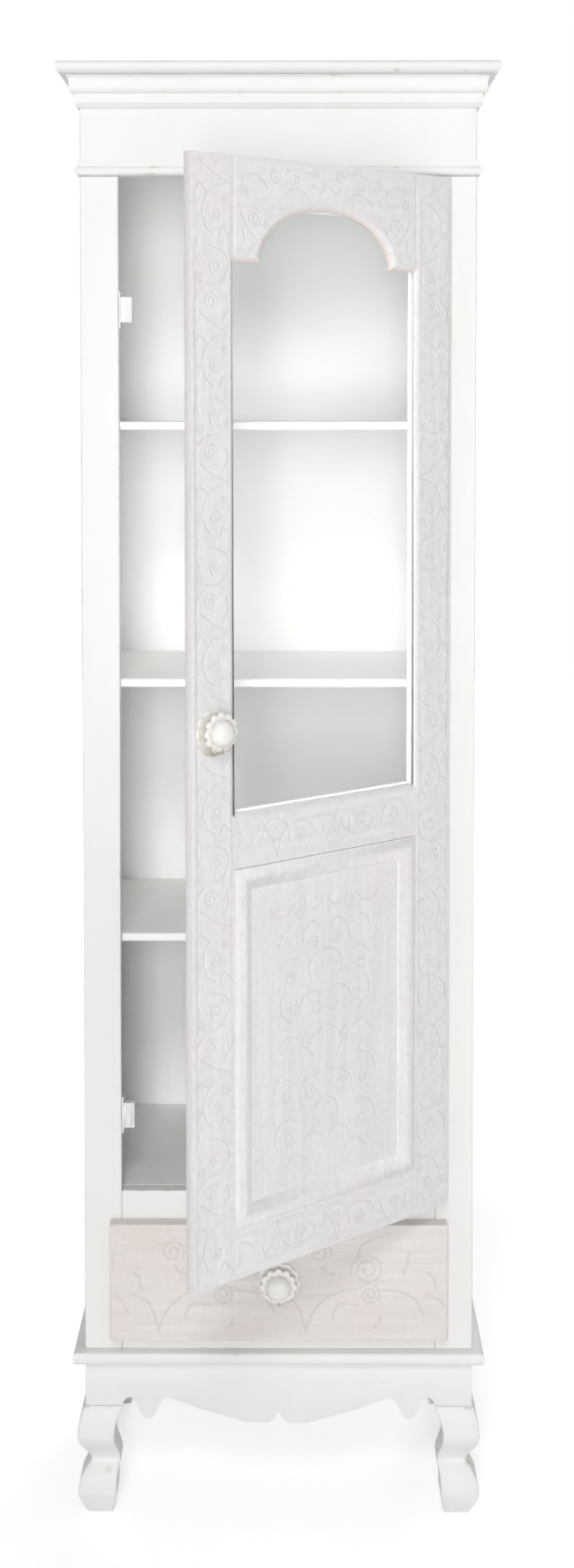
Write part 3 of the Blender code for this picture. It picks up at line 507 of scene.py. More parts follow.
@dataclass(frozen=True)
class ChalkPaint:
    """White chalk paint, brushed on and rubbed through on the arrises."""

    name: str = "chalk_paint"
    white: Colour = (0.845, 0.845, 0.83)
    shade: Colour = (0.815, 0.812, 0.795)
    wood: Colour = (0.58, 0.53, 0.46)
    turned: bool = False

    def material(self) -> Material:
        """Build the material.

        Returns:
            The material.
        """
        shader = Shader(self.name, self.turned)
        clouds = shader.noise((6.0, 6.0, 2.2), 3.0)
        strokes = shader.noise((240.0, 240.0, 9.0), 3.0)
        paint = shader.ramp(clouds, ((0.32, self.shade), (0.62, self.white)))
        nicks = shader.noise((150.0, 150.0, 80.0), 2.0)
        chips = shader.level(nicks, 0.775, 0.80, 0.0, 0.45)
        normal = shader.node("ShaderNodeSeparateXYZ")
        shader.link(shader.node("ShaderNodeTexCoord").outputs["Normal"], normal.inputs[0])
        flat = None
        for axis in normal.outputs:
            size = shader.math("ABSOLUTE", axis, 0.0)
            flat = size if flat is None else shader.math("MAXIMUM", flat, size)
        arris = shader.level(flat, 0.80, 0.95, 1.0, 0.0)
        rub = shader.noise((34.0, 34.0, 26.0), 5.0)
        rubbed = shader.math("MULTIPLY", arris, shader.level(rub, 0.61, 0.69, 0.0, 0.75))
        worn = shader.math("MAXIMUM", rubbed, chips)
        shader.colour(shader.mix(worn, paint, self.wood))
        shader.roughness(strokes, 0.50, 0.62)
        shader.bump(strokes, 0.10, 0.0006)
        return shader.material


@dataclass(frozen=True)
class Whitewash:
    """Thin white wash over carved wood, with the grain and a pink ground showing through, and painted shade
    in the carved lines.
    """

    name: str
    grain: Grain
    turned: bool
    pale: Colour = (0.875, 0.865, 0.86)
    veil: Colour = (0.79, 0.775, 0.775)
    blush: Colour = (0.825, 0.785, 0.775)
    # Colour of random dark specks and smudges, and of the painted shade in the carved lines.
    marks_and_groove_shade: Colour = (0.53, 0.485, 0.46)
    chalk: Colour = (0.915, 0.91, 0.905)
    rose: Colour = (0.78, 0.63, 0.57)
    dab: float = 0.42
    # Strength of the painted shade in the carved lines.
    line: float = 0.22
    smudge: float = 0.36

    def scaled(self, size: float) -> tuple[float, ...]:
        """A noise scale drawn out along the grain."""
        return tuple(size * share for share in self.grain.value)

    def material(self) -> Material:
        """Build the material.

        Returns:
            The material.
        """
        shader = Shader(self.name, self.turned)
        streaks = shader.noise(self.scaled(130.0), 5.0)
        fibres = shader.noise(self.scaled(420.0), 3.0)
        patches = shader.noise((9.0, 9.0, 9.0), 3.0)
        specks = shader.noise((300.0, 300.0, 300.0), 2.0)
        dabs = shader.noise((170.0, 170.0, 130.0), 6.0, 0.72)
        wash = shader.ramp(streaks, ((0.30, self.veil), (0.64, self.pale)))
        layers = (
            (patches, (0.47, 0.70), (0.0, 0.70), self.blush),
            (fibres, (0.48, 0.72), (0.0, 0.75), self.veil),
            (specks, (0.66, 0.76), (0.0, 0.40), self.marks_and_groove_shade),
            (dabs, (0.50, 0.64), (0.0, self.dab), self.chalk),
            (dabs, (0.34, 0.47), (self.smudge * self.dab, 0.0), self.marks_and_groove_shade),
            (shader.attribute("rose"), (0.0, 1.0), (0.0, 0.80), self.rose),
            # Painted shade: the carved lines darken with their depth.
            (shader.attribute("carve"), (0.0, 1.0), (0.0, self.line), self.marks_and_groove_shade),
        )
        for mask, span, share, colour in layers:
            wash = shader.mix(shader.level(mask, *span, *share), wash, colour)
        shader.colour(wash)
        shader.roughness(fibres, 0.56, 0.70)
        shader.bump(fibres, 0.30, 0.0006)
        return shader.material


@dataclass(frozen=True)
class KnobCream:
    """Cream paint with brown scuffs, and brown painted shade in the hollows, between the petals and under the
    knob.
    """

    name: str = "knob_cream"
    cream: Colour = (0.89, 0.88, 0.845)
    brown: Colour = (0.36, 0.29, 0.20)

    def material(self) -> Material:
        """Build the material.

        Returns:
            The material.
        """
        shader = Shader(self.name)
        mottle = shader.noise((160.0, 160.0, 160.0), 4.0)
        hollow = shader.attribute("hollow")
        # Brown painted shade in the hollows, between the petals and on the underside, mottled.
        painted_shade = shader.math("MULTIPLY", hollow, shader.level(mottle, 0.30, 0.65, 0.25, 0.95))
        scuffs = shader.level(mottle, 0.66, 0.76, 0.0, 0.22)
        shader.colour(shader.mix(shader.math("MAXIMUM", painted_shade, scuffs), self.cream, self.brown))
        shader.roughness(mottle, 0.38, 0.55)
        shader.bump(mottle, 0.15, 0.0005)
        return shader.material


@dataclass(frozen=True)
class Softwood:
    """Plain sanded softwood of the drawer box and runners."""

    name: str = "sanded_softwood"
    pale: Colour = (0.74, 0.64, 0.49)
    dark: Colour = (0.60, 0.47, 0.32)

    def material(self) -> Material:
        """Build the material.

        Returns:
            The material.
        """
        shader = Shader(self.name)
        rings = shader.noise((60.0, 2.5, 60.0), 5.0)
        fibres = shader.noise((420.0, 14.0, 420.0), 2.0)
        shader.colour(shader.ramp(rings, ((0.35, self.dark), (0.60, self.pale))))
        shader.roughness(fibres, 0.55, 0.72)
        shader.bump(fibres, 0.2, 0.0005)
        return shader.material


@dataclass(frozen=True)
class Pane:
    """Clear window glass with a faint green body."""

    name: str = "window_glass"
    tint: Colour = (0.94, 0.96, 0.95)
    clear: Colour = (0.955, 0.97, 0.965)
    ior: float = 1.46
    shadow: float = 0.05

    def material(self) -> Material:
        """Build the material.

        Returns:
            The material.
        """
        shader = Shader(self.name)
        ripple = shader.noise((5.0, 5.0, 3.0), 1.0)
        shader.surface.inputs["Transmission Weight"].default_value = 1.0
        shader.surface.inputs["IOR"].default_value = self.ior
        shadow = shader.node("ShaderNodeLightPath").outputs["Is Shadow Ray"]
        shader.link(shader.level(shadow, 0.0, 1.0, 1.0, self.shadow), shader.surface.inputs["Alpha"])
        shader.colour(shader.ramp(ripple, ((0.3, self.tint), (0.7, self.clear))))
        shader.roughness(ripple, 0.0, 0.012)
        return shader.material


@dataclass(frozen=True)
class Metal:
    """Bare metal with fine drawn lines and slight tarnish."""

    name: str
    bright: Colour
    dull: Colour

    def material(self) -> Material:
        """Build the material.

        Returns:
            The material.
        """
        shader = Shader(self.name)
        tarnish = shader.noise((90.0, 90.0, 45.0), 4.0)
        lines = shader.noise((900.0, 900.0, 30.0), 2.0)
        shader.surface.inputs["Metallic"].default_value = 1.0
        shader.colour(shader.ramp(tarnish, ((0.35, self.dull), (0.65, self.bright))))
        shader.roughness(lines, 0.28, 0.45)
        shader.bump(lines, 0.1, 0.0002)
        return shader.material


@dataclass(frozen=True)
class MouldedPlastic:
    """White moulded plastic with a fine texture."""

    name: str = "white_plastic"
    white: Colour = (0.83, 0.83, 0.82)
    shade: Colour = (0.76, 0.76, 0.745)

    def material(self) -> Material:
        """Build the material.

        Returns:
            The material.
        """
        shader = Shader(self.name)
        texture = shader.noise((700.0, 700.0, 700.0), 2.0)
        tone = shader.noise((40.0, 40.0, 40.0), 2.0)
        shader.colour(shader.ramp(tone, ((0.35, self.shade), (0.65, self.white))))
        shader.roughness(texture, 0.36, 0.46)
        shader.bump(texture, 0.08, 0.0002)
        return shader.material


class Scroll:
    """Strokes of generic carved scrollwork, as points in the plane of a board."""

    CURL_STEPS = 40
    CURL_LEAST = 24
    CURL_WIND = 0.82

    @staticmethod
    def smooth(points: Sequence[Point], steps: int = 12) -> Stroke:
        """Pass a rounded curve through points.

        Args:
            points: Points on the curve.
            steps: Samples between two points.

        Returns:
            The sampled stroke.
        """
        ends = [points[0], *points, points[-1]]
        stroke: Stroke = []
        for a, b, c, d in zip(ends, ends[1:], ends[2:], ends[3:]):
            for i in range(steps):
                t = i / steps
                stroke.append(
                    tuple(
                        0.5 * (2 * b[k] + (c[k] - a[k]) * t + (2 * a[k] - 5 * b[k] + 4 * c[k] - d[k]) * t * t
                               + (3 * b[k] - a[k] - 3 * c[k] + d[k]) * t**3)
                        for k in (0, 1)
                    )
                )
        return stroke + [points[-1]]

    @staticmethod
    def curl(centre: Point, radius: float, start: float, turns: float) -> Stroke:
        """A spiral that winds in to its centre.

        Args:
            centre: Centre of the curl.
            radius: Radius at its outer end.
            start: Angle of its outer end, in degrees.
            turns: Turns, negative for clockwise.

        Returns:
            The sampled stroke.
        """
        count = max(Scroll.CURL_LEAST, int(abs(turns) * Scroll.CURL_STEPS))
        stroke: Stroke = []
        for i in range(count + 1):
            share = i / count
            angle = math.radians(start) + 2 * math.pi * turns * share
            reach = radius * (1 - Scroll.CURL_WIND * share)
            stroke.append((centre[0] + reach * math.cos(angle), centre[1] + reach * math.sin(angle)))
        return stroke

    @staticmethod
    def place(strokes: Sequence[Stroke], origin: Point, across: Point, along: Point) -> list[Stroke]:
        """Put strokes at an origin with their axes along two directions.

        Args:
            strokes: The strokes.
            origin: Where their zero goes.
            across: Direction of u.
            along: Direction of v.

        Returns:
            The placed strokes.
        """
        return [
            [
                (origin[0] + u * across[0] + v * along[0], origin[1] + u * across[1] + v * along[1])
                for u, v in stroke
            ]
            for stroke in strokes
        ]

    @staticmethod
    def vine(width: float) -> list[Stroke]:
        """One length of running scroll for a stile: u runs outwards from the inner edge, v downwards.

        Args:
            width: Width of the stile.

        Returns:
            The strokes.
        """

        def across(*points: Point) -> Stroke:
            """Pass a rounded curve through points whose u is a share of the width."""
            return Scroll.smooth([(u * width, v) for u, v in points])

        return [
            across((0.08, 0.0), (0.42, -0.007), (0.80, -0.022)),
            across((0.08, 0.0), (0.50, 0.008), (0.74, 0.028), (0.66, 0.050), (0.48, 0.058)),
            across((0.56, 0.070), (0.22, 0.078), (0.14, 0.095), (0.32, 0.110), (0.64, 0.112)),
            Scroll.curl((0.44 * width, 0.093), 0.0085, 60.0, -1.4),
            Scroll.curl((0.56 * width, 0.131), 0.0100, 200.0, 1.6),
            Scroll.curl((0.42 * width, 0.036), 0.0080, 10.0, 1.4),
            across((0.84, 0.062), (0.90, 0.078), (0.82, 0.092)),
            across((0.18, 0.126), (0.14, 0.140), (0.26, 0.152)),
            across((0.62, 0.012), (0.80, 0.004), (0.90, 0.014)),
            across((0.72, 0.118), (0.88, 0.128), (0.90, 0.146)),
            across((0.12, 0.058), (0.24, 0.050), (0.34, 0.060)),
            Scroll.curl((0.80 * width, 0.106), 0.0060, 120.0, 1.4),
            Scroll.curl((0.20 * width, 0.020), 0.0055, 0.0, -1.4),
            Scroll.curl((0.82 * width, 0.040), 0.0050, 90.0, -1.3),
        ]


@dataclass(frozen=True)
class Drawing:
    """A group of carved strokes in millimetres.

    Lines pass through points. Curls are given as u, v, radius, start in degrees and turns.
    """

    lines: tuple[tuple[Point, ...], ...]
    curls: tuple[tuple[float, float, float, float, float], ...]

    def strokes(self) -> list[Stroke]:
        """Sample the lines and curls.

        Returns:
            The strokes, in metres.
        """
        strokes = [Scroll.smooth([(u / PER_METRE, v / PER_METRE) for u, v in line]) for line in self.lines]
        for u, v, radius, start, turns in self.curls:
            strokes.append(Scroll.curl((u / PER_METRE, v / PER_METRE), radius / PER_METRE, start, turns))
        return strokes


# One length of the broad running scroll on the drawer, from a cusp at its foot.
WAVE = Drawing(
    lines=(
        ((0, 0), (5, 16), (14, 31), (27, 43), (46, 51), (64, 53)),
        ((0, 0), (-4, 15), (-9, 29), (-18, 40), (-34, 46)),
        ((95, 52), (117, 49), (133, 41), (140, 30), (144, 22)),
        ((33, 16), (35, 26), (43, 34), (62, 33)),
        ((64, 95), (68, 106), (79, 114), (103, 123)),
        ((127, 99), (125, 85), (120, 72)),
        ((20, 82), (25, 75), (34, 72)),
        ((92, 18), (90, 9), (84, 3)),
        ((150, 74), (158, 66), (160, 54)),
    ),
    curls=(
        (79, 46, 14, 140, -2), (76, 77, 21, 200, -2.2), (17, 100, 15, -30, 1.7),
    ),
)

# Right half of the arabesque on the panel, about its middle.
BOUQUET = Drawing(
    lines=(
        ((4, 150), (16, 142), (30, 146), (34, 158)),
        ((48, 152), (60, 140), (76, 140), (84, 150)),
        ((8, 118), (20, 126), (34, 116), (36, 104)),
        ((52, 126), (66, 118), (72, 104)),
        ((0, 92), (16, 88), (26, 76), (24, 62)),
        ((40, 84), (56, 88), (70, 78)),
        ((8, 40), (22, 46), (36, 38), (42, 22)),
        ((62, 52), (70, 38), (66, 22), (52, 14)),
        ((6, 0), (20, -8), (26, -22), (18, -34)),
        ((44, -6), (60, -2), (72, -14)),
        ((10, -52), (28, -56), (40, -70), (38, -86)),
        ((56, -40), (72, -48), (80, -64)),
        ((4, -84), (16, -92), (20, -106)),
        ((46, -104), (60, -98), (74, -106), (80, -122)),
        ((6, -128), (20, -120), (34, -128)),
        ((30, -150), (46, -142), (62, -152)),
    ),
    curls=(
        (40, 140, 9, 90, 1.5), (18, 102, 8, 0, 1.5), (56, 66, 9, 30, 1.5), (14, 24, 9, 60, 1.5),
        (50, 30, 8, 120, 1.5), (30, -12, 9, 180, 1.5), (24, -74, 10, 20, 1.5), (60, -72, 8, 90, 1.5),
        (56, -122, 9, 200, 1.5), (16, -112, 7, 80, 1.5),
    ),
)

# Scrolls beside the arch on the left half of the crest rail, about the arch's middle.
SPANDREL = Drawing(
    lines=(
        ((-132, 62), (-126, 46), (-114, 32), (-98, 22)),
        ((-98, 22), (-112, 17), (-122, 8)),
        ((-98, 22), (-82, 30), (-76, 44), (-84, 58)),
        ((-70, 76), (-56, 84), (-40, 84), (-28, 76)),
        ((-24, 92), (-12, 84), (-4, 92)),
        ((-128, 92), (-114, 98), (-100, 94), (-92, 84)),
        ((-62, 104), (-44, 108), (-26, 104)),
        ((-134, 14), (-126, 24), (-128, 36)),
    ),
    curls=(
        (-108, 50, 11, 200, -1.7), (-52, 94, 9, 250, 1.5), (-80, 98, 8.5, 40, -1.6), (-126, 78, 7, 300, 1.5),
        (-18, 104, 6.5, 180, -1.5), (-92, 42, 5, 90, 1.3),
    ),
)


@dataclass
class Gouge:
    """A tool that carves strokes into the front of a board."""

    half_width: float = 0.0019
    depth: float = 0.00065
    edge: float = 0.0022
    edge_drop: float = 0.0006
    profile: float = 1.5
    smooth_angle: float = 38.0

    def carve(
        self, piece: Piece, face: float, strokes: Sequence[Stroke], margin: Callable[[float, float], float]
    ) -> None:
        """Press strokes into the vertices on the front face and note their depth.

        Args:
            piece: Board that looks along -Y.
            face: Y of its front face.
            strokes: Strokes as (x, z).
            margin: Distance of a point (x, z) from the board's nearest edge.
        """
        marks = [point for stroke in strokes for point in stroke]
        tree = KDTree(len(marks))
        for i, (x, z) in enumerate(marks):
            tree.insert((x, 0.0, z), i)
        tree.balance()
        mesh = piece.data
        # The depth share is also the strength of the painted shade in the carved lines.
        depth_note = mesh.attributes.new("carve", "FLOAT", "POINT")
        for vertex in mesh.vertices:
            x, y, z = vertex.co
            if abs(y - face) > NEAR:
                continue
            room = margin(x, z)
            reach = tree.find((x, 0.0, z))[2]
            share = max(0.0, 1.0 - (reach / self.half_width) ** 2) ** self.profile
            share *= min(1.0, max(0.0, room / self.edge - 1.0))
            sink = self.depth * share + self.edge_drop * max(0.0, 1.0 - room / self.edge) ** 2
            vertex.co.y = y + sink
            depth_note.data[vertex.index].value = share
        Bench.select_only(piece)
        bpy.ops.object.shade_smooth_by_angle(angle=math.radians(self.smooth_angle))


@dataclass
class Door:
    """Carved frame-and-panel door, built shut about its hinge axis and then swung to its place."""

    low: float = 0.401
    height: float = 1.260
    thickness: float = 0.014
    right: float = -0.0034
    width: float = 0.402
    stile: float = 0.060
    bottom_rail: float = 0.058
    panel_opening: float = 0.409
    lock_rail: float = 0.063
    crest_rail: float = 0.054
    arch_width: float = 0.200
    arch_rise: float = 0.0625
    arch_sides: int = 128
    lip: float = 0.0055
    rebate: float = 0.008
    chamfer_width: float = 0.005
    chamfer_depth: float = 0.004
    gap: float = 0.0003
    pitch: float = 0.0011
    plain_edge: float = 0.0062
    ease: float = 0.0009
    light_reach: float = 0.02
    vine_pitch: float = 0.165
    vine_drop: float = 0.030
    rail_vine: float = 0.060
    rail_vine_first: float = 0.048
    rail_vine_pitch: float = 0.094
    rail_vine_back: float = 0.078
    rail_vine_lean: float = 0.95
    rail_vine_shift: float = 0.028
    lock_rail_vine: float = 0.030
    rail_strokes: int = 6
    rail_vines: int = 3
    panel_rise: float = 0.0015
    panel_back: float = -0.004
    knob_height: float = 0.625
    # Steps of the raised border: width and rise.
    border: tuple[Point, ...] = (
        (0.0027, 0.0015), (0.006, 0.0025), (0.003, 0.0), (0.0035, -0.002), (0.0085, -0.004), (0.002, -0.002),
    )
    gouge: Gouge = field(default_factory=Gouge)

    def __post_init__(self) -> None:
        """Work out the places that follow from the sizes."""
        self.top = self.low + self.height
        self.left = self.right - self.width
        self.light_left = self.left + self.stile
        self.light_right = self.right - self.stile
        self.middle = (self.light_left + self.light_right) / 2
        self.panel_low = self.low + self.bottom_rail
        self.panel_high = self.panel_low + self.panel_opening
        self.sill = self.panel_high + self.lock_rail
        self.arch_top = self.top - self.crest_rail
        self.arch_foot = self.arch_top - self.arch_rise
        self.face = -self.thickness

    def board(self, name: str, low: Point, high: Point, tools: Sequence[Piece], arched: bool) -> Piece:
        """A board of the door, moulded by tools, with a fine grid on its face.

        Args:
            name: Name of the piece.
            low: Lowest corner as (x, z).
            high: Highest corner as (x, z).
            tools: Tools that mould it.
            arched: Whether the tools cut an arch into it, so that the grid has to come first.

        Returns:
            The board.
        """
        piece = Bench.block(name, (low[0], self.face, low[1]), (high[0], 0.0, high[1]))
        if arched:
            Bench.grid_front(piece, self.face, low, high, self.pitch)
            Bench.cut(piece, tools)
            return piece
        Bench.inset_front(piece, [(self.plain_edge, 0.0)])
        Bench.cut(piece, tools)
        Bench.soften(piece, self.ease)
        Bench.grid_front(piece, self.face, low, high, self.pitch, self.plain_edge)
        return piece

    def flare(self, tool: Piece, front: float, growth: float) -> None:
        """Widen the front end of a tool so that it cuts a chamfer.

        Args:
            tool: Straight tool along Y.
            front: Y behind which vertices stay.
            growth: How much wider the front is on every side.
        """
        mesh = Bench.edit(tool, "VERT")
        xs = [v.co.x for v in mesh.verts]
        zs = [v.co.z for v in mesh.verts]
        size_x, size_z = max(xs) - min(xs), max(zs) - min(zs)
        centre = ((max(xs) + min(xs)) / 2, 0.0, (max(zs) + min(zs)) / 2)
        for vertex in mesh.verts:
            vertex.select_set(vertex.co.y < front)
        mesh.select_flush_mode()
        bpy.ops.transform.resize(
            value=(1 + 2 * growth / size_x, 1.0, 1 + 2 * growth / size_z), center_override=centre
        )
        Bench.close()

    def tools(self) -> dict[str, Piece]:
        """Tools that open the arch, chamfer the light and rebate it for the glass.

        Returns:
            The tools by name.
        """
        slope = self.chamfer_width / self.chamfer_depth
        over = self.chamfer_depth / 4
        inset = over * slope
        front, back = self.face - over, self.face + self.chamfer_depth + over
        growth = (back - front) * slope
        half = self.arch_width / 2
        rebate = Bench.block(
            "rebate_tool",
            (self.light_left - self.rebate, self.face + self.lip, self.sill - self.rebate),
            (self.light_right + self.rebate, self.thickness, self.arch_top + self.rebate),
        )
        light = Bench.block(
            "light_tool",
            (self.light_left + inset, front, self.sill + inset),
            (self.light_right - inset, back, self.arch_foot - inset),
        )
        self.flare(light, (front + back) / 2, growth)
        arch = Bench.rod("arch_tool", (0.0, 0.0, 0.0), half, 4 * self.thickness, self.arch_sides)
        Bench.move(arch, Matrix.Translation((self.middle, 0.0, self.arch_foot))
                   @ Matrix.Diagonal((1.0, 1.0, self.arch_rise / half, 1.0)))
        mould = Bench.rod("mould_tool", (0.0, (front + back) / 2, 0.0), 1.0, back - front, self.arch_sides)
        Bench.move(mould, Matrix.Translation((self.middle, 0.0, self.arch_foot))
                   @ Matrix.Diagonal((half - inset, 1.0, self.arch_rise - inset, 1.0)))
        self.flare(mould, (front + back) / 2, growth)
        return {"rebate": rebate, "light": light, "arch": arch, "mould": mould}

    def stile_strokes(self, inner: float, outward: float) -> list[Stroke]:
        """Running scroll up a stile.

        Args:
            inner: X of the stile's inner edge.
            outward: Direction of its outer edge, 1 or -1.

        Returns:
            The strokes.
        """
        strokes: list[Stroke] = []
        count = int(self.height / self.vine_pitch) + 1
        for i in range(count):
            start = self.top - self.vine_drop - i * self.vine_pitch
            strokes += Scroll.place(Scroll.vine(self.stile), (inner, start), (outward, 0.0), (0.0, -1.0))
        return strokes

    def frame_margin(self, low: Point, high: Point) -> Callable[[float, float], float]:
        """Distance from the edges of a board and from the moulded light.

        Args:
            low: Lowest corner of the board as (x, z).
            high: Highest corner as (x, z).

        Returns:
            A function of x and z.
        """

        def margin(x: float, z: float) -> float:
            """Distance of one point from the nearest edge.

            Args:
                x: X of the point.
                z: Z of the point.

            Returns:
                The distance, below zero past the edge.
            """
            room = min(x - low[0], high[0] - x, z - low[1], high[1] - z)
            if z <= self.sill - self.light_reach:
                return room
            beside = max(self.light_left - x, x - self.light_right)
            past = self.sill - z
            if z > self.arch_foot:
                spread = math.hypot(
                    (x - self.middle) / self.arch_width * 2, (z - self.arch_foot) / self.arch_rise
                )
                past = min(z - self.arch_foot, (spread - 1) * self.arch_rise)
            return min(room, max(beside, past) - self.chamfer_width)

        return margin

    def tint_arch(self, piece: Piece) -> None:
        """Note where the ground shows rose, on the moulded edge of the arch.

        Args:
            piece: The crest rail.
        """
        rose_note = piece.data.attributes.new("rose", "FLOAT", "POINT")
        for vertex in piece.data.vertices:
            sunk = vertex.co.y - self.face
            if self.chamfer_depth / 2 < sunk < self.lip - self.gap:
                rose_note.data[vertex.index].value = 1.0

    def build_frame(self, upright: Material, level: Material) -> None:
        """Model the two stiles and three rails.

        Args:
            upright: Finish with upright grain.
            level: Finish with level grain.
        """
        tools = self.tools()
        left, right = self.light_left + self.gap, self.light_right - self.gap
        vine = Scroll.vine(self.rail_vine)[: self.rail_strokes]
        rows = ((self.panel_high + self.lock_rail_vine, 1.0), (self.low + self.rail_vine_shift, -1.0))
        rail_scrolls: list[Stroke] = []
        for i in range(self.rail_vines):
            x = self.light_left + self.rail_vine_first + self.rail_vine_pitch * i - self.rail_vine_back
            for z, flip in rows:
                side = flip if i % 2 else -flip
                origin = (x, z - self.rail_vine_shift * side)
                rail_scrolls += Scroll.place(vine, origin, (0.0, side * self.rail_vine_lean), (1.0, 0.0))
        crest: list[Stroke] = []
        for side in (1.0, -1.0):
            crest += Scroll.place(SPANDREL.strokes(), (self.middle, self.arch_foot), (side, 0.0), (0.0, 1.0))
        plans = (
            ("lock_stile", "door_stile_lock", (self.left, self.low), (self.light_left, self.top),
             ("rebate", "light"), self.stile_strokes(self.light_left, -1.0), upright),
            ("hinge_stile", "door_stile_hinge", (self.light_right, self.low), (self.right, self.top),
             ("rebate", "light"), self.stile_strokes(self.light_right, 1.0), upright),
            ("crest_rail", "door_rail_top", (left, self.arch_foot), (right, self.top),
             ("rebate", "arch", "light", "mould"), crest, level),
            ("lock_rail", "door_rail_lock", (left, self.panel_high), (right, self.sill),
             ("rebate", "light"), rail_scrolls, level),
            ("bottom_rail", "door_rail_bottom", (left, self.low), (right, self.panel_low),
             (), rail_scrolls, level),
        )
        for name, node, low, high, cuts, strokes, material in plans:
            arched = "arch" in cuts
            piece = self.board("carved_" + name, low, high, [tools[cut] for cut in cuts], arched)
            if arched:
                self.tint_arch(piece)
            self.gouge.carve(piece, self.face, strokes, self.frame_margin(low, high))
            Bench.move(piece, DOOR_PLACE)
            Bench.hand_over(piece, Body.DOOR, Slot.CARVING, material, node)
        Bench.discard(tools.values())

    def build_panel(self, material: Material) -> None:
        """Model the panel: a raised border shaped by insets round a carved field.

        Args:
            material: Finish with upright grain.
        """
        low = (self.light_left + self.gap, self.panel_low + self.gap)
        high = (self.light_right - self.gap, self.panel_high - self.gap)
        start = self.face - self.panel_rise
        piece = Bench.block("carved_panel", (low[0], start, low[1]), (high[0], self.panel_back, high[1]))
        Bench.inset_front(piece, self.border)
        inset = sum(thickness for thickness, _ in self.border)
        field_y = start - sum(depth for _, depth in self.border)
        inner_low = (low[0] + inset, low[1] + inset)
        inner_high = (high[0] - inset, high[1] - inset)
        Bench.grid_front(piece, field_y, inner_low, inner_high, self.pitch)
        middle = ((low[0] + high[0]) / 2, (low[1] + high[1]) / 2)
        strokes: list[Stroke] = []
        for side in (1.0, -1.0):
            strokes += Scroll.place(BOUQUET.strokes(), middle, (side, 0.0), (0.0, 1.0))

        def margin(x: float, z: float) -> float:
            """Distance from the edge of the field, past the gouge's own edge."""
            room = min(x - inner_low[0], inner_high[0] - x, z - inner_low[1], inner_high[1] - z)
            return room + self.gouge.edge

        self.gouge.carve(piece, field_y, strokes, margin)
        Bench.move(piece, DOOR_PLACE)
        Bench.hand_over(piece, Body.DOOR, Slot.CARVING, material, "door_panel")


@dataclass
class DrawerFront:
    """Carved front of the drawer."""

    pitch: float = 0.0011
    plain_edge: float = 0.0040
    ease: float = 0.0016
    cusp_pitch: float = 0.182
    first_cusp: float = 0.061
    foot: float = 0.013
    waves: tuple[int, int] = (-1, 3)
    gouge: Gouge = field(default_factory=Gouge)

    def build(self, material: Material) -> None:
        """Model the front over its CAD node.

        Args:
            material: Finish with level grain.
        """
        low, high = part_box("drawer_front")
        piece = Bench.block("carved_drawer_front", low, high)
        Bench.inset_front(piece, [(self.plain_edge, 0.0)])
        Bench.soften(piece, self.ease)
        Bench.grid_front(piece, low.y, (low.x, low.z), (high.x, high.z), self.pitch, self.plain_edge)
        strokes: list[Stroke] = []
        for i in range(*self.waves):
            cusp = (low.x + self.first_cusp + i * self.cusp_pitch, low.z + self.foot)
            strokes += Scroll.place(WAVE.strokes(), cusp, (1.0, 0.0), (0.0, 1.0))

        def margin(x: float, z: float) -> float:
            """Distance from the edge of the front."""
            return min(x - low.x, high.x - x, z - low.z, high.z - z)

        self.gouge.carve(piece, low.y, strokes, margin)
        Bench.hand_over(piece, Body.DRAWER, Slot.CARVING, material, "drawer_front")


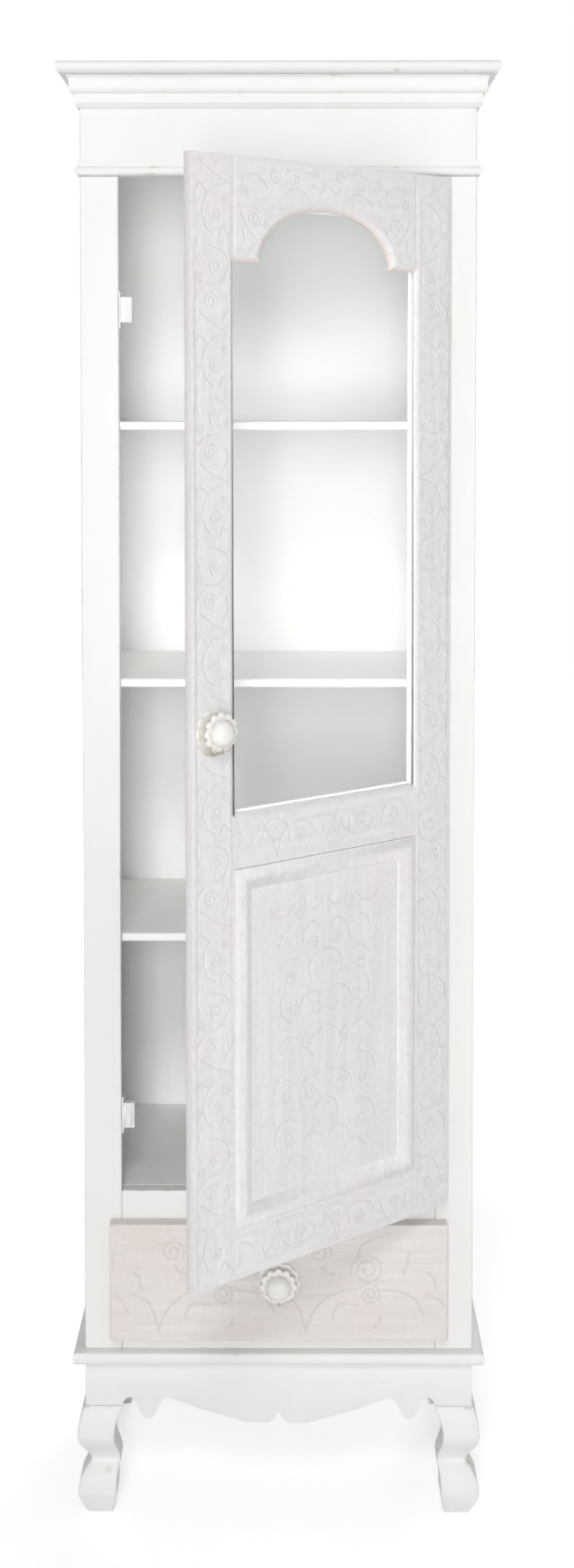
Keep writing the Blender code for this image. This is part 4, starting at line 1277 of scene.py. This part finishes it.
@dataclass
class FlowerKnob:
    """Knob with a scalloped plate, a neck and petals round a dome."""

    petals: int = 12
    sides: int = 96
    # Painted shade between the petals and on the knob's underside.
    cleft_shade: float = 0.45
    underside_shade: float = 1.0
    outer: float = 0.019
    reach_weight: float = 0.2
    # Radius, height, depth of the scallops and painted shade of each ring.
    rings: tuple[tuple[float, float, float, float], ...] = (
        (0.0275, 0.0003, 0.05, 0.0), (0.0275, 0.0014, 0.05, 0.0), (0.0258, 0.0022, 0.05, 0.0),
        (0.0180, 0.0025, 0.02, 0.3), (0.0085, 0.0030, 0.0, 0.9), (0.0080, 0.0068, 0.0, 0.9),
        (0.0110, 0.0090, 0.0, 0.9), (0.0225, 0.0098, 0.13, 0.6), (0.0243, 0.0120, 0.14, 0.0),
        (0.0234, 0.0142, 0.13, 0.0), (0.0196, 0.0154, 0.11, 0.0), (0.0160, 0.0143, 0.04, 0.5),
        (0.0150, 0.0152, 0.0, 0.35), (0.0142, 0.0190, 0.05, 0.0), (0.0115, 0.0226, 0.05, 0.0),
        (0.0072, 0.0248, 0.03, 0.0), (0.0025, 0.0257, 0.0, 0.0),
    )

    def pinch(self, spot: Vector) -> float:
        """How near a point is to the cleft between two petals, from 0 to 1."""
        return 1.0 - abs(math.cos(self.petals * math.atan2(spot.z, spot.x) / 2))

    def painted_shade(self, spot: Vector) -> float:
        """How much painted shade a point of the knob gets, in its hollows, between the petals and on its
        underside.

        Args:
            spot: Point in the knob's own frame.

        Returns:
            Share from 0 to 1.
        """
        reach = math.hypot(spot.x, spot.z)
        offsets = [abs(ring[1] + spot.y) + self.reach_weight * abs(ring[0] - reach) for ring in self.rings]
        share = self.rings[offsets.index(min(offsets))][3]
        if reach > self.outer:
            # Painted shade between the petals and, darker, on the underside, where shade falls.
            share += self.cleft_shade * self.pinch(spot) ** 2
            share += self.underside_shade * max(0.0, -spot.z / reach) ** 2
        return min(1.0, share)

    def build(self, name: str, node: str, body: Body, place: Matrix, material: Material) -> None:
        """Raise the knob ring by ring from a circle.

        Args:
            name: Name of the piece.
            node: CAD node it stands for.
            body: Body it rides on.
            place: Matrix from the knob's own frame, where it stands along -Y.
            material: Its finish.
        """
        bpy.ops.mesh.primitive_circle_add(vertices=self.sides, radius=1.0, rotation=(math.pi / 2, 0.0, 0.0))
        piece = Bench.take(name)
        Bench.edit(piece, "VERT")
        bpy.ops.mesh.select_all(action="SELECT")
        for i, (radius, lift, dip, _) in enumerate(self.rings):
            if i:
                bpy.ops.mesh.extrude_edges_move()
            mesh = bmesh.from_edit_mesh(piece.data)
            for vertex in mesh.verts:
                if vertex.select:
                    turn = math.atan2(vertex.co.z, vertex.co.x)
                    reach = radius * (1 - dip * self.pinch(vertex.co))
                    vertex.co = (reach * math.cos(turn), -lift, reach * math.sin(turn))
            bmesh.update_edit_mesh(piece.data)
        bpy.ops.mesh.edge_face_add()
        mesh = bmesh.from_edit_mesh(piece.data)
        for vertex in mesh.verts:
            vertex.select_set(vertex.co.y > -self.rings[0][1] - NEAR)
        mesh.select_flush_mode()
        bpy.ops.mesh.edge_face_add()
        Bench.close()
        # Note the painted shade of each vertex for the knob's paint.
        hollow_note = piece.data.attributes.new("hollow", "FLOAT", "POINT")
        for vertex in piece.data.vertices:
            hollow_note.data[vertex.index].value = self.painted_shade(vertex.co)
        subdivision = piece.modifiers.new("smooth", "SUBSURF")
        subdivision.levels = subdivision.render_levels = 1
        Bench.apply(piece)
        bpy.ops.object.shade_smooth()
        Bench.move(piece, place)
        Bench.hand_over(piece, body, Slot.KNOB, material, node)


@dataclass
class Apron:
    """Front apron with a round hollow by each leg, two small lobes and a notched lobe in the middle."""

    shoulder: float = 0.138
    # Lower edge from the left leg to the middle, as x and z.
    half_edge: tuple[Point, ...] = (
        (-0.1943, 0.1380), (-0.1926, 0.1440), (-0.1864, 0.1478), (-0.1790, 0.1435), (-0.1725, 0.1285),
        (-0.1675, 0.1220), (-0.1622, 0.1205), (-0.1570, 0.1222), (-0.1520, 0.1325), (-0.1465, 0.1420),
        (-0.1380, 0.1468), (-0.1220, 0.1420), (-0.0950, 0.1322), (-0.0650, 0.1237), (-0.0400, 0.1166),
        (-0.0260, 0.1154), (-0.0130, 0.1158), (-0.0070, 0.1190), (0.0, 0.1292),
    )
    steps: int = 4
    ease: float = 0.0008

    def build(self, material: Material) -> None:
        """Model the apron over its CAD node.

        Args:
            material: Its paint.
        """
        low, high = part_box("apron_front")
        left = Scroll.smooth(self.half_edge, self.steps)
        right = [(-x, z) for x, z in reversed(left[:-1])]
        outline = [
            (low.x, high.z), (low.x, self.shoulder), *left, *right, (high.x, self.shoulder), (high.x, high.z),
        ]
        bpy.ops.mesh.primitive_circle_add(vertices=len(outline), radius=1.0)
        piece = Bench.take("shaped_apron_front")
        mesh = Bench.edit(piece, "VERT")
        for vertex, (x, z) in zip(mesh.verts, outline):
            vertex.co = (x, low.y, z)
        bmesh.update_edit_mesh(piece.data)
        bpy.ops.mesh.select_all(action="SELECT")
        bpy.ops.mesh.edge_face_add()
        bpy.ops.mesh.extrude_region_move()
        bpy.ops.transform.translate(value=(0.0, high.y - low.y, 0.0))
        Bench.close()
        Bench.soften(piece, self.ease)
        Bench.hand_over(piece, Body.CARCASS, Slot.PAINT, material, "apron_front")


@dataclass
class Legs:
    """Square cabriole legs drawn up ring by ring from the sole."""

    rings_per_stage: int = 9
    # Height, flare and width at foot, ankle, knee and shoulder, and tuck and width of the sole.
    marks: tuple[tuple[float, float, float], ...] = (
        (0.025, 0.0088, 0.0475), (0.0645, -0.0066, 0.0364), (0.100, 0.0095, 0.0455), (0.1377, 0.0023, 0.049),
    )
    sole: Point = (0.0028, 0.031)
    arris: float = 0.0022
    turns: tuple[tuple[str, str, float], ...] = (
        ("front", "left", 0.0), ("front", "right", 90.0), ("back", "left", 270.0), ("back", "right", 180.0),
    )

    @staticmethod
    def foot_curl(share: float) -> float:
        """Blend from the foot to the ankle, slow at the foot."""
        return share**3

    @staticmethod
    def calf_sweep(share: float) -> float:
        """Blend from the ankle to the knee, slow at both ends."""
        return share * share * (3 - 2 * share)

    @staticmethod
    def knee_round(share: float) -> float:
        """Blend from the knee to the shoulder, slow at the knee."""
        return share * share

    def stations(self) -> list[tuple[float, float, float]]:
        """Rings of the leg above its sole.

        Returns:
            Height, flare and width of each ring.
        """
        curves = (self.foot_curl, self.calf_sweep, self.knee_round)
        found: list[tuple[float, float, float]] = []
        for low, high, curve in zip(self.marks, self.marks[1:], curves):
            for i in range(self.rings_per_stage):
                share = i / self.rings_per_stage
                shares = (share, curve(share), curve(share))
                found.append(tuple(a + (b - a) * part for a, b, part in zip(low, high, shares)))
        return found + [self.marks[-1]]

    def build(self, material: Material) -> None:
        """Model one leg and copy it to the four corners.

        Args:
            material: Its paint.
        """
        tuck, width = self.sole
        bpy.ops.mesh.primitive_plane_add(size=width, location=(tuck + width / 2, tuck + width / 2, 0.0))
        leg = Bench.take("cabriole_pattern")
        Bench.edit(leg, "FACE")
        bpy.ops.mesh.select_all(action="SELECT")
        at = (0.0, -tuck, width)
        for height, flare, wide in self.stations():
            bpy.ops.mesh.extrude_region_move()
            middle = -at[1] + at[2] / 2
            new_middle = -flare + wide / 2
            bpy.ops.transform.resize(
                value=(wide / at[2], wide / at[2], 1.0), center_override=(middle, middle, at[0])
            )
            shift = new_middle - middle
            bpy.ops.transform.translate(value=(shift, shift, height - at[0]))
            at = (height, flare, wide)
        Bench.close()
        Bench.soften(leg, self.arris, segments=3, angle=50.0)
        for row, side, turn in self.turns:
            self.copy(leg, row, side, turn, material)
        Bench.discard([leg])

    def copy(self, leg: Piece, row: str, side: str, turn: float, material: Material) -> None:
        """Put one leg under its corner.

        Args:
            leg: The pattern, whose flare looks towards -X and -Y.
            row: front or back.
            side: left or right.
            turn: Turn about Z in degrees.
            material: Its paint.
        """
        node = f"leg_{row}_{side}"
        low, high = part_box(node)
        flare = max(mark[1] for mark in self.marks)
        corner_x = low.x + flare if side == "left" else high.x - flare
        corner_y = low.y + flare if row == "front" else high.y - flare
        piece = leg.copy()
        piece.data = leg.data.copy()
        piece.name = "cabriole_" + node
        bpy.context.collection.objects.link(piece)
        spin = Matrix.Rotation(math.radians(turn), 4, "Z")
        Bench.move(piece, Matrix.Translation((corner_x, corner_y, 0.0)) @ spin)
        Bench.hand_over(piece, Body.CARCASS, Slot.PAINT, material, node)


@dataclass
class Catch:
    """Magnetic catch: a moulded body with two ears, screws and two pole bars."""

    wall: float = 0.0025
    pole_height: float = 0.026
    pole_width: float = 0.0016
    pole_reach: float = 0.0008
    pole_sunk: float = 0.006
    pole_shares: Point = (0.24, 0.76)
    body_half: float = 0.0155
    rim: float = 0.0022
    rim_depth: float = 0.0006
    body_ease: float = 0.0007
    ear_ease: float = 0.0009
    metal_ease: float = 0.0003
    screw: float = 0.0028
    screw_head: float = 0.0009
    screw_lift: float = 0.0004
    screw_inset: float = 0.0036
    sides: int = 24

    def build(self, name: str, plastic: Material, steel: Material) -> None:
        """Model one catch over its CAD node.

        Args:
            name: upper or lower.
            plastic: Finish of the body.
            steel: Finish of the poles and screws.
        """
        node = "catch_" + name
        low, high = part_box(node)
        middle_z = (low.z + high.z) / 2
        front = low.y + self.pole_reach
        body = Bench.block(
            f"catch_body_{name}",
            (low.x, front, middle_z - self.body_half),
            (high.x, high.y, middle_z + self.body_half),
        )
        Bench.inset_front(body, [(self.rim, -self.rim_depth)])
        Bench.soften(body, self.body_ease)
        Bench.hand_over(body, Body.CARCASS, Slot.PLASTIC, plastic, node)
        ears = Bench.block(f"catch_ears_{name}", (low.x, front, low.z), (low.x + self.wall, high.y, high.z))
        Bench.soften(ears, self.ear_ease, segments=3)
        Bench.hand_over(ears, Body.CARCASS, Slot.PLASTIC, plastic)
        for i, share in enumerate(self.pole_shares):
            x = low.x + (high.x - low.x) * share
            pole = Bench.block(
                f"catch_pole_{name}_{i}",
                (x - self.pole_width / 2, low.y, middle_z - self.pole_height / 2),
                (x + self.pole_width / 2, front + self.pole_sunk, middle_z + self.pole_height / 2),
            )
            Bench.soften(pole, self.metal_ease)
            Bench.hand_over(pole, Body.CARCASS, Slot.STEEL, steel)
        for i, z in enumerate((low.z + self.screw_inset, high.z - self.screw_inset)):
            title = f"catch_screw_{name}_{i}"
            head = Bench.rod(title, (0.0, 0.0, 0.0), self.screw, self.screw_head, self.sides)
            Bench.soften(head, self.metal_ease, angle=60.0)
            centre = (low.x + self.wall + self.screw_lift, (front + high.y) / 2, z)
            Bench.move(head, Matrix.Translation(centre) @ Matrix.Rotation(math.pi / 2, 4, "Z"))
            Bench.hand_over(head, Body.CARCASS, Slot.STEEL, steel)


@dataclass
class Dressing:
    """Finishes of the CAD nodes."""

    paint: Material
    inside: Material
    door_paint: Material
    softwood: Material
    pane: Material
    brass: Material
    steel: Material

    def material_of(self, node: str) -> Material:
        """Finish of one CAD node, by its name.

        Args:
            node: Name of the node.

        Returns:
            Its finish.
        """
        by_start = (
            ("door_glass", self.pane),
            ("hinge_", self.brass),
            ("strike_", self.steel),
            ("glass_bead", self.door_paint),
        )
        for start, material in by_start:
            if node.startswith(start):
                return material
        if node.startswith("drawer_") and node != "drawer_front":
            return self.softwood
        # Inner boards take the lighter copy of the paint, as painted light; the side panels carry it on their
        # outer faces too.
        if node.startswith("shelf_") or node.endswith("_panel") or node.startswith("side_panel"):
            return self.inside
        return self.paint

    def dress(self) -> None:
        """Give every CAD node its finish."""
        for name, node in frame["nodes"].items():
            node.data.materials.clear()
            node.data.materials.append(self.material_of(name))
            LOG.info("%s dressed", name)


@dataclass(frozen=True)
class Softbox:
    """A soft rectangular studio light."""

    name: str
    place: tuple[float, float, float]
    aim: tuple[float, float, float]
    size: Point
    power: float


@dataclass
class Studio:
    """White floor and soft light, with the camera where the photograph was taken."""

    image: tuple[int, int] = (650, 1777)
    focal_px: float = 2356.14
    sensor: float = 36.0
    clip_start: float = 0.05
    principal: Point = (325.0, 579.41)
    pitch: float = 0.04824
    yaw: float = 0.00478
    distance: float = 2.5418
    height: float = 1.3798
    aside: float = 0.02265
    sky: float = 0.28
    glow_near: float = 0.45
    glow_far: float = 1.0
    glow_range: Point = (1.0, 3.0)
    floor_size: float = 16.0
    floor_shade: Colour = (0.88, 0.88, 0.88)
    floor_white: Colour = (0.90, 0.90, 0.90)
    floor_rough: float = 0.9
    floor_drop: float = 0.0006
    lights: tuple[Softbox, ...] = (
        Softbox("front_light", (-0.2, -5.2, 1.4), (0.0, 0.0, 0.9), (0.9, 2.4), 105.0),
        Softbox("top_light", (-0.35, -5.2, 4.6), (0.0, 0.0, 0.8), (1.2, 1.2), 82.0),
        Softbox("left_light", (-2.4, -2.4, 1.4), (0.0, -0.1, 0.9), (1.6, 1.8), 3.0),
        Softbox("right_light", (2.6, -2.7, 1.5), (0.0, -0.1, 0.9), (1.6, 1.8), 9.0),
        Softbox("back_light", (0.8, 4.6, 2.4), (0.0, 0.2, 0.9), (2.0, 2.0), 60.0),
    )

    def camera(self) -> None:
        """Set the camera at the photograph's angle and framing."""
        wide, tall = self.image
        data = bpy.data.cameras.new("studio_camera")
        data.sensor_fit = "AUTO"
        data.sensor_width = self.sensor
        data.lens = self.sensor * self.focal_px / tall
        data.shift_x = (wide / 2 - self.principal[0]) / tall
        data.shift_y = (self.principal[1] - tall / 2) / tall
        data.clip_start = self.clip_start
        camera = bpy.data.objects.new("studio_camera", data)
        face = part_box("face_stile_left")[0].y
        camera.location = (self.aside, face - self.distance, self.height)
        camera.rotation_euler = (math.pi / 2 - self.pitch, 0.0, self.yaw)
        bpy.context.collection.objects.link(camera)
        bpy.context.scene.camera = camera

    def lamp(self, light: Softbox) -> None:
        """Add one soft light.

        Args:
            light: Its sizes and place.
        """
        data = bpy.data.lights.new(light.name, "AREA")
        data.shape = "RECTANGLE"
        data.size, data.size_y = light.size
        data.energy = light.power
        lamp = bpy.data.objects.new(light.name, data)
        lamp.location = light.place
        way = Vector(light.aim) - Vector(light.place)
        lamp.rotation_euler = way.to_track_quat("-Z", "Y").to_euler()
        bpy.context.collection.objects.link(lamp)

    @staticmethod
    def seen(tree: bpy.types.NodeTree) -> Socket:
        """A factor that is 1 for rays that show the background: camera, glossy and transmission.

        Args:
            tree: Node tree to add it to.

        Returns:
            The factor.
        """
        path = tree.nodes.new("ShaderNodeLightPath")
        total = path.outputs["Is Camera Ray"]
        for name in ("Is Glossy Ray", "Is Transmission Ray"):
            either = tree.nodes.new("ShaderNodeMath")
            either.operation = "MAXIMUM"
            tree.links.new(total, either.inputs[0])
            tree.links.new(path.outputs[name], either.inputs[1])
            total = either.outputs[0]
        return total

    def sky_light(self) -> None:
        """White surroundings that light the cabinet at a plain level."""
        world = bpy.data.worlds.new("studio_world")
        world.use_nodes = True
        tree = world.node_tree
        strength = tree.nodes.new("ShaderNodeMapRange")
        strength.inputs["To Min"].default_value = self.sky
        strength.inputs["To Max"].default_value = 1.0
        tree.links.new(self.seen(tree), strength.inputs["Value"])
        background = tree.nodes["Background"]
        background.inputs["Color"].default_value = (1.0, 1.0, 1.0, 1.0)
        tree.links.new(strength.outputs["Result"], background.inputs["Strength"])
        bpy.context.scene.world = world

    def floor(self) -> None:
        """White floor that keeps the cabinet's shadow."""
        bpy.ops.mesh.primitive_plane_add(size=self.floor_size, location=(0.0, 0.0, -self.floor_drop))
        floor = Bench.take("studio_floor")
        shader = Shader("studio_white")
        tone = shader.noise((1.5, 1.5, 1.5), 1.0)
        shader.colour(shader.ramp(tone, ((0.3, self.floor_shade), (0.7, self.floor_white))))
        shader.surface.inputs["Roughness"].default_value = self.floor_rough
        shader.surface.inputs["Emission Color"].default_value = (1.0, 1.0, 1.0, 1.0)
        away = shader.node("ShaderNodeVectorMath", operation="LENGTH")
        shader.link(shader.coordinates((1.0, 1.0, 1.0)), away.inputs[0])
        strength = shader.level(away.outputs["Value"], *self.glow_range, self.glow_near, self.glow_far)
        glow = shader.math("MULTIPLY", self.seen(shader.tree), strength)
        shader.link(glow, shader.surface.inputs["Emission Strength"])
        floor.data.materials.append(shader.material)

    def build(self) -> None:
        """Set up the whole studio."""
        self.sky_light()
        self.floor()
        for light in self.lights:
            self.lamp(light)
        self.camera()
        bpy.context.scene.view_settings.view_transform = "Standard"


def main() -> None:
    """Dress the cabinet and set the studio."""
    logging.basicConfig(level=logging.INFO)
    paint = ChalkPaint().material()
    door_paint = ChalkPaint(name="chalk_paint_door", turned=True).material()
    upright = Whitewash("whitewash_upright", Grain.UPRIGHT, True).material()
    level = Whitewash("whitewash_level", Grain.LEVEL, True).material()
    # The drawer's carved lines take a stronger painted shade.
    drawer = Whitewash("whitewash_drawer", Grain.LEVEL, False, pale=(0.79, 0.755, 0.735),
                       veil=(0.71, 0.67, 0.65), blush=(0.73, 0.64, 0.60), dab=0.14, line=0.50).material()
    cream = KnobCream().material()
    brass = Metal("satin_brass", bright=(0.72, 0.60, 0.36), dull=(0.52, 0.40, 0.22)).material()
    steel = Metal("zinc_steel", bright=(0.62, 0.62, 0.63), dull=(0.40, 0.40, 0.41)).material()
    plastic = MouldedPlastic().material()
    # Lighter copy of the chalk paint: painted light for the dim inside of the cabinet.
    inside = ChalkPaint(
        "chalk_paint_inside_painted_light", white=(0.955, 0.955, 0.945), shade=(0.94, 0.94, 0.925)
    ).material()
    Dressing(paint, inside, door_paint, Softwood().material(), Pane().material(), brass, steel).dress()
    door = Door()
    door.build_frame(upright, level)
    door.build_panel(upright)
    DrawerFront().build(drawer)
    knob = FlowerKnob()
    knob_x = door.left + door.stile / 2
    knob.build("flower_knob_door", "door_knob", Body.DOOR,
               DOOR_PLACE @ Matrix.Translation((knob_x, door.face, door.low + door.knob_height)), cream)
    low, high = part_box("drawer_front")
    knob.build("flower_knob_drawer", "drawer_knob", Body.DRAWER,
               Matrix.Translation(((low.x + high.x) / 2, low.y, (low.z + high.z) / 2)), cream)
    Apron().build(paint)
    Legs().build(paint)
    for name in ("upper", "lower"):
        Catch().build(name, plastic, steel)
    Studio().build()


if __name__ == "__main__":
    main()
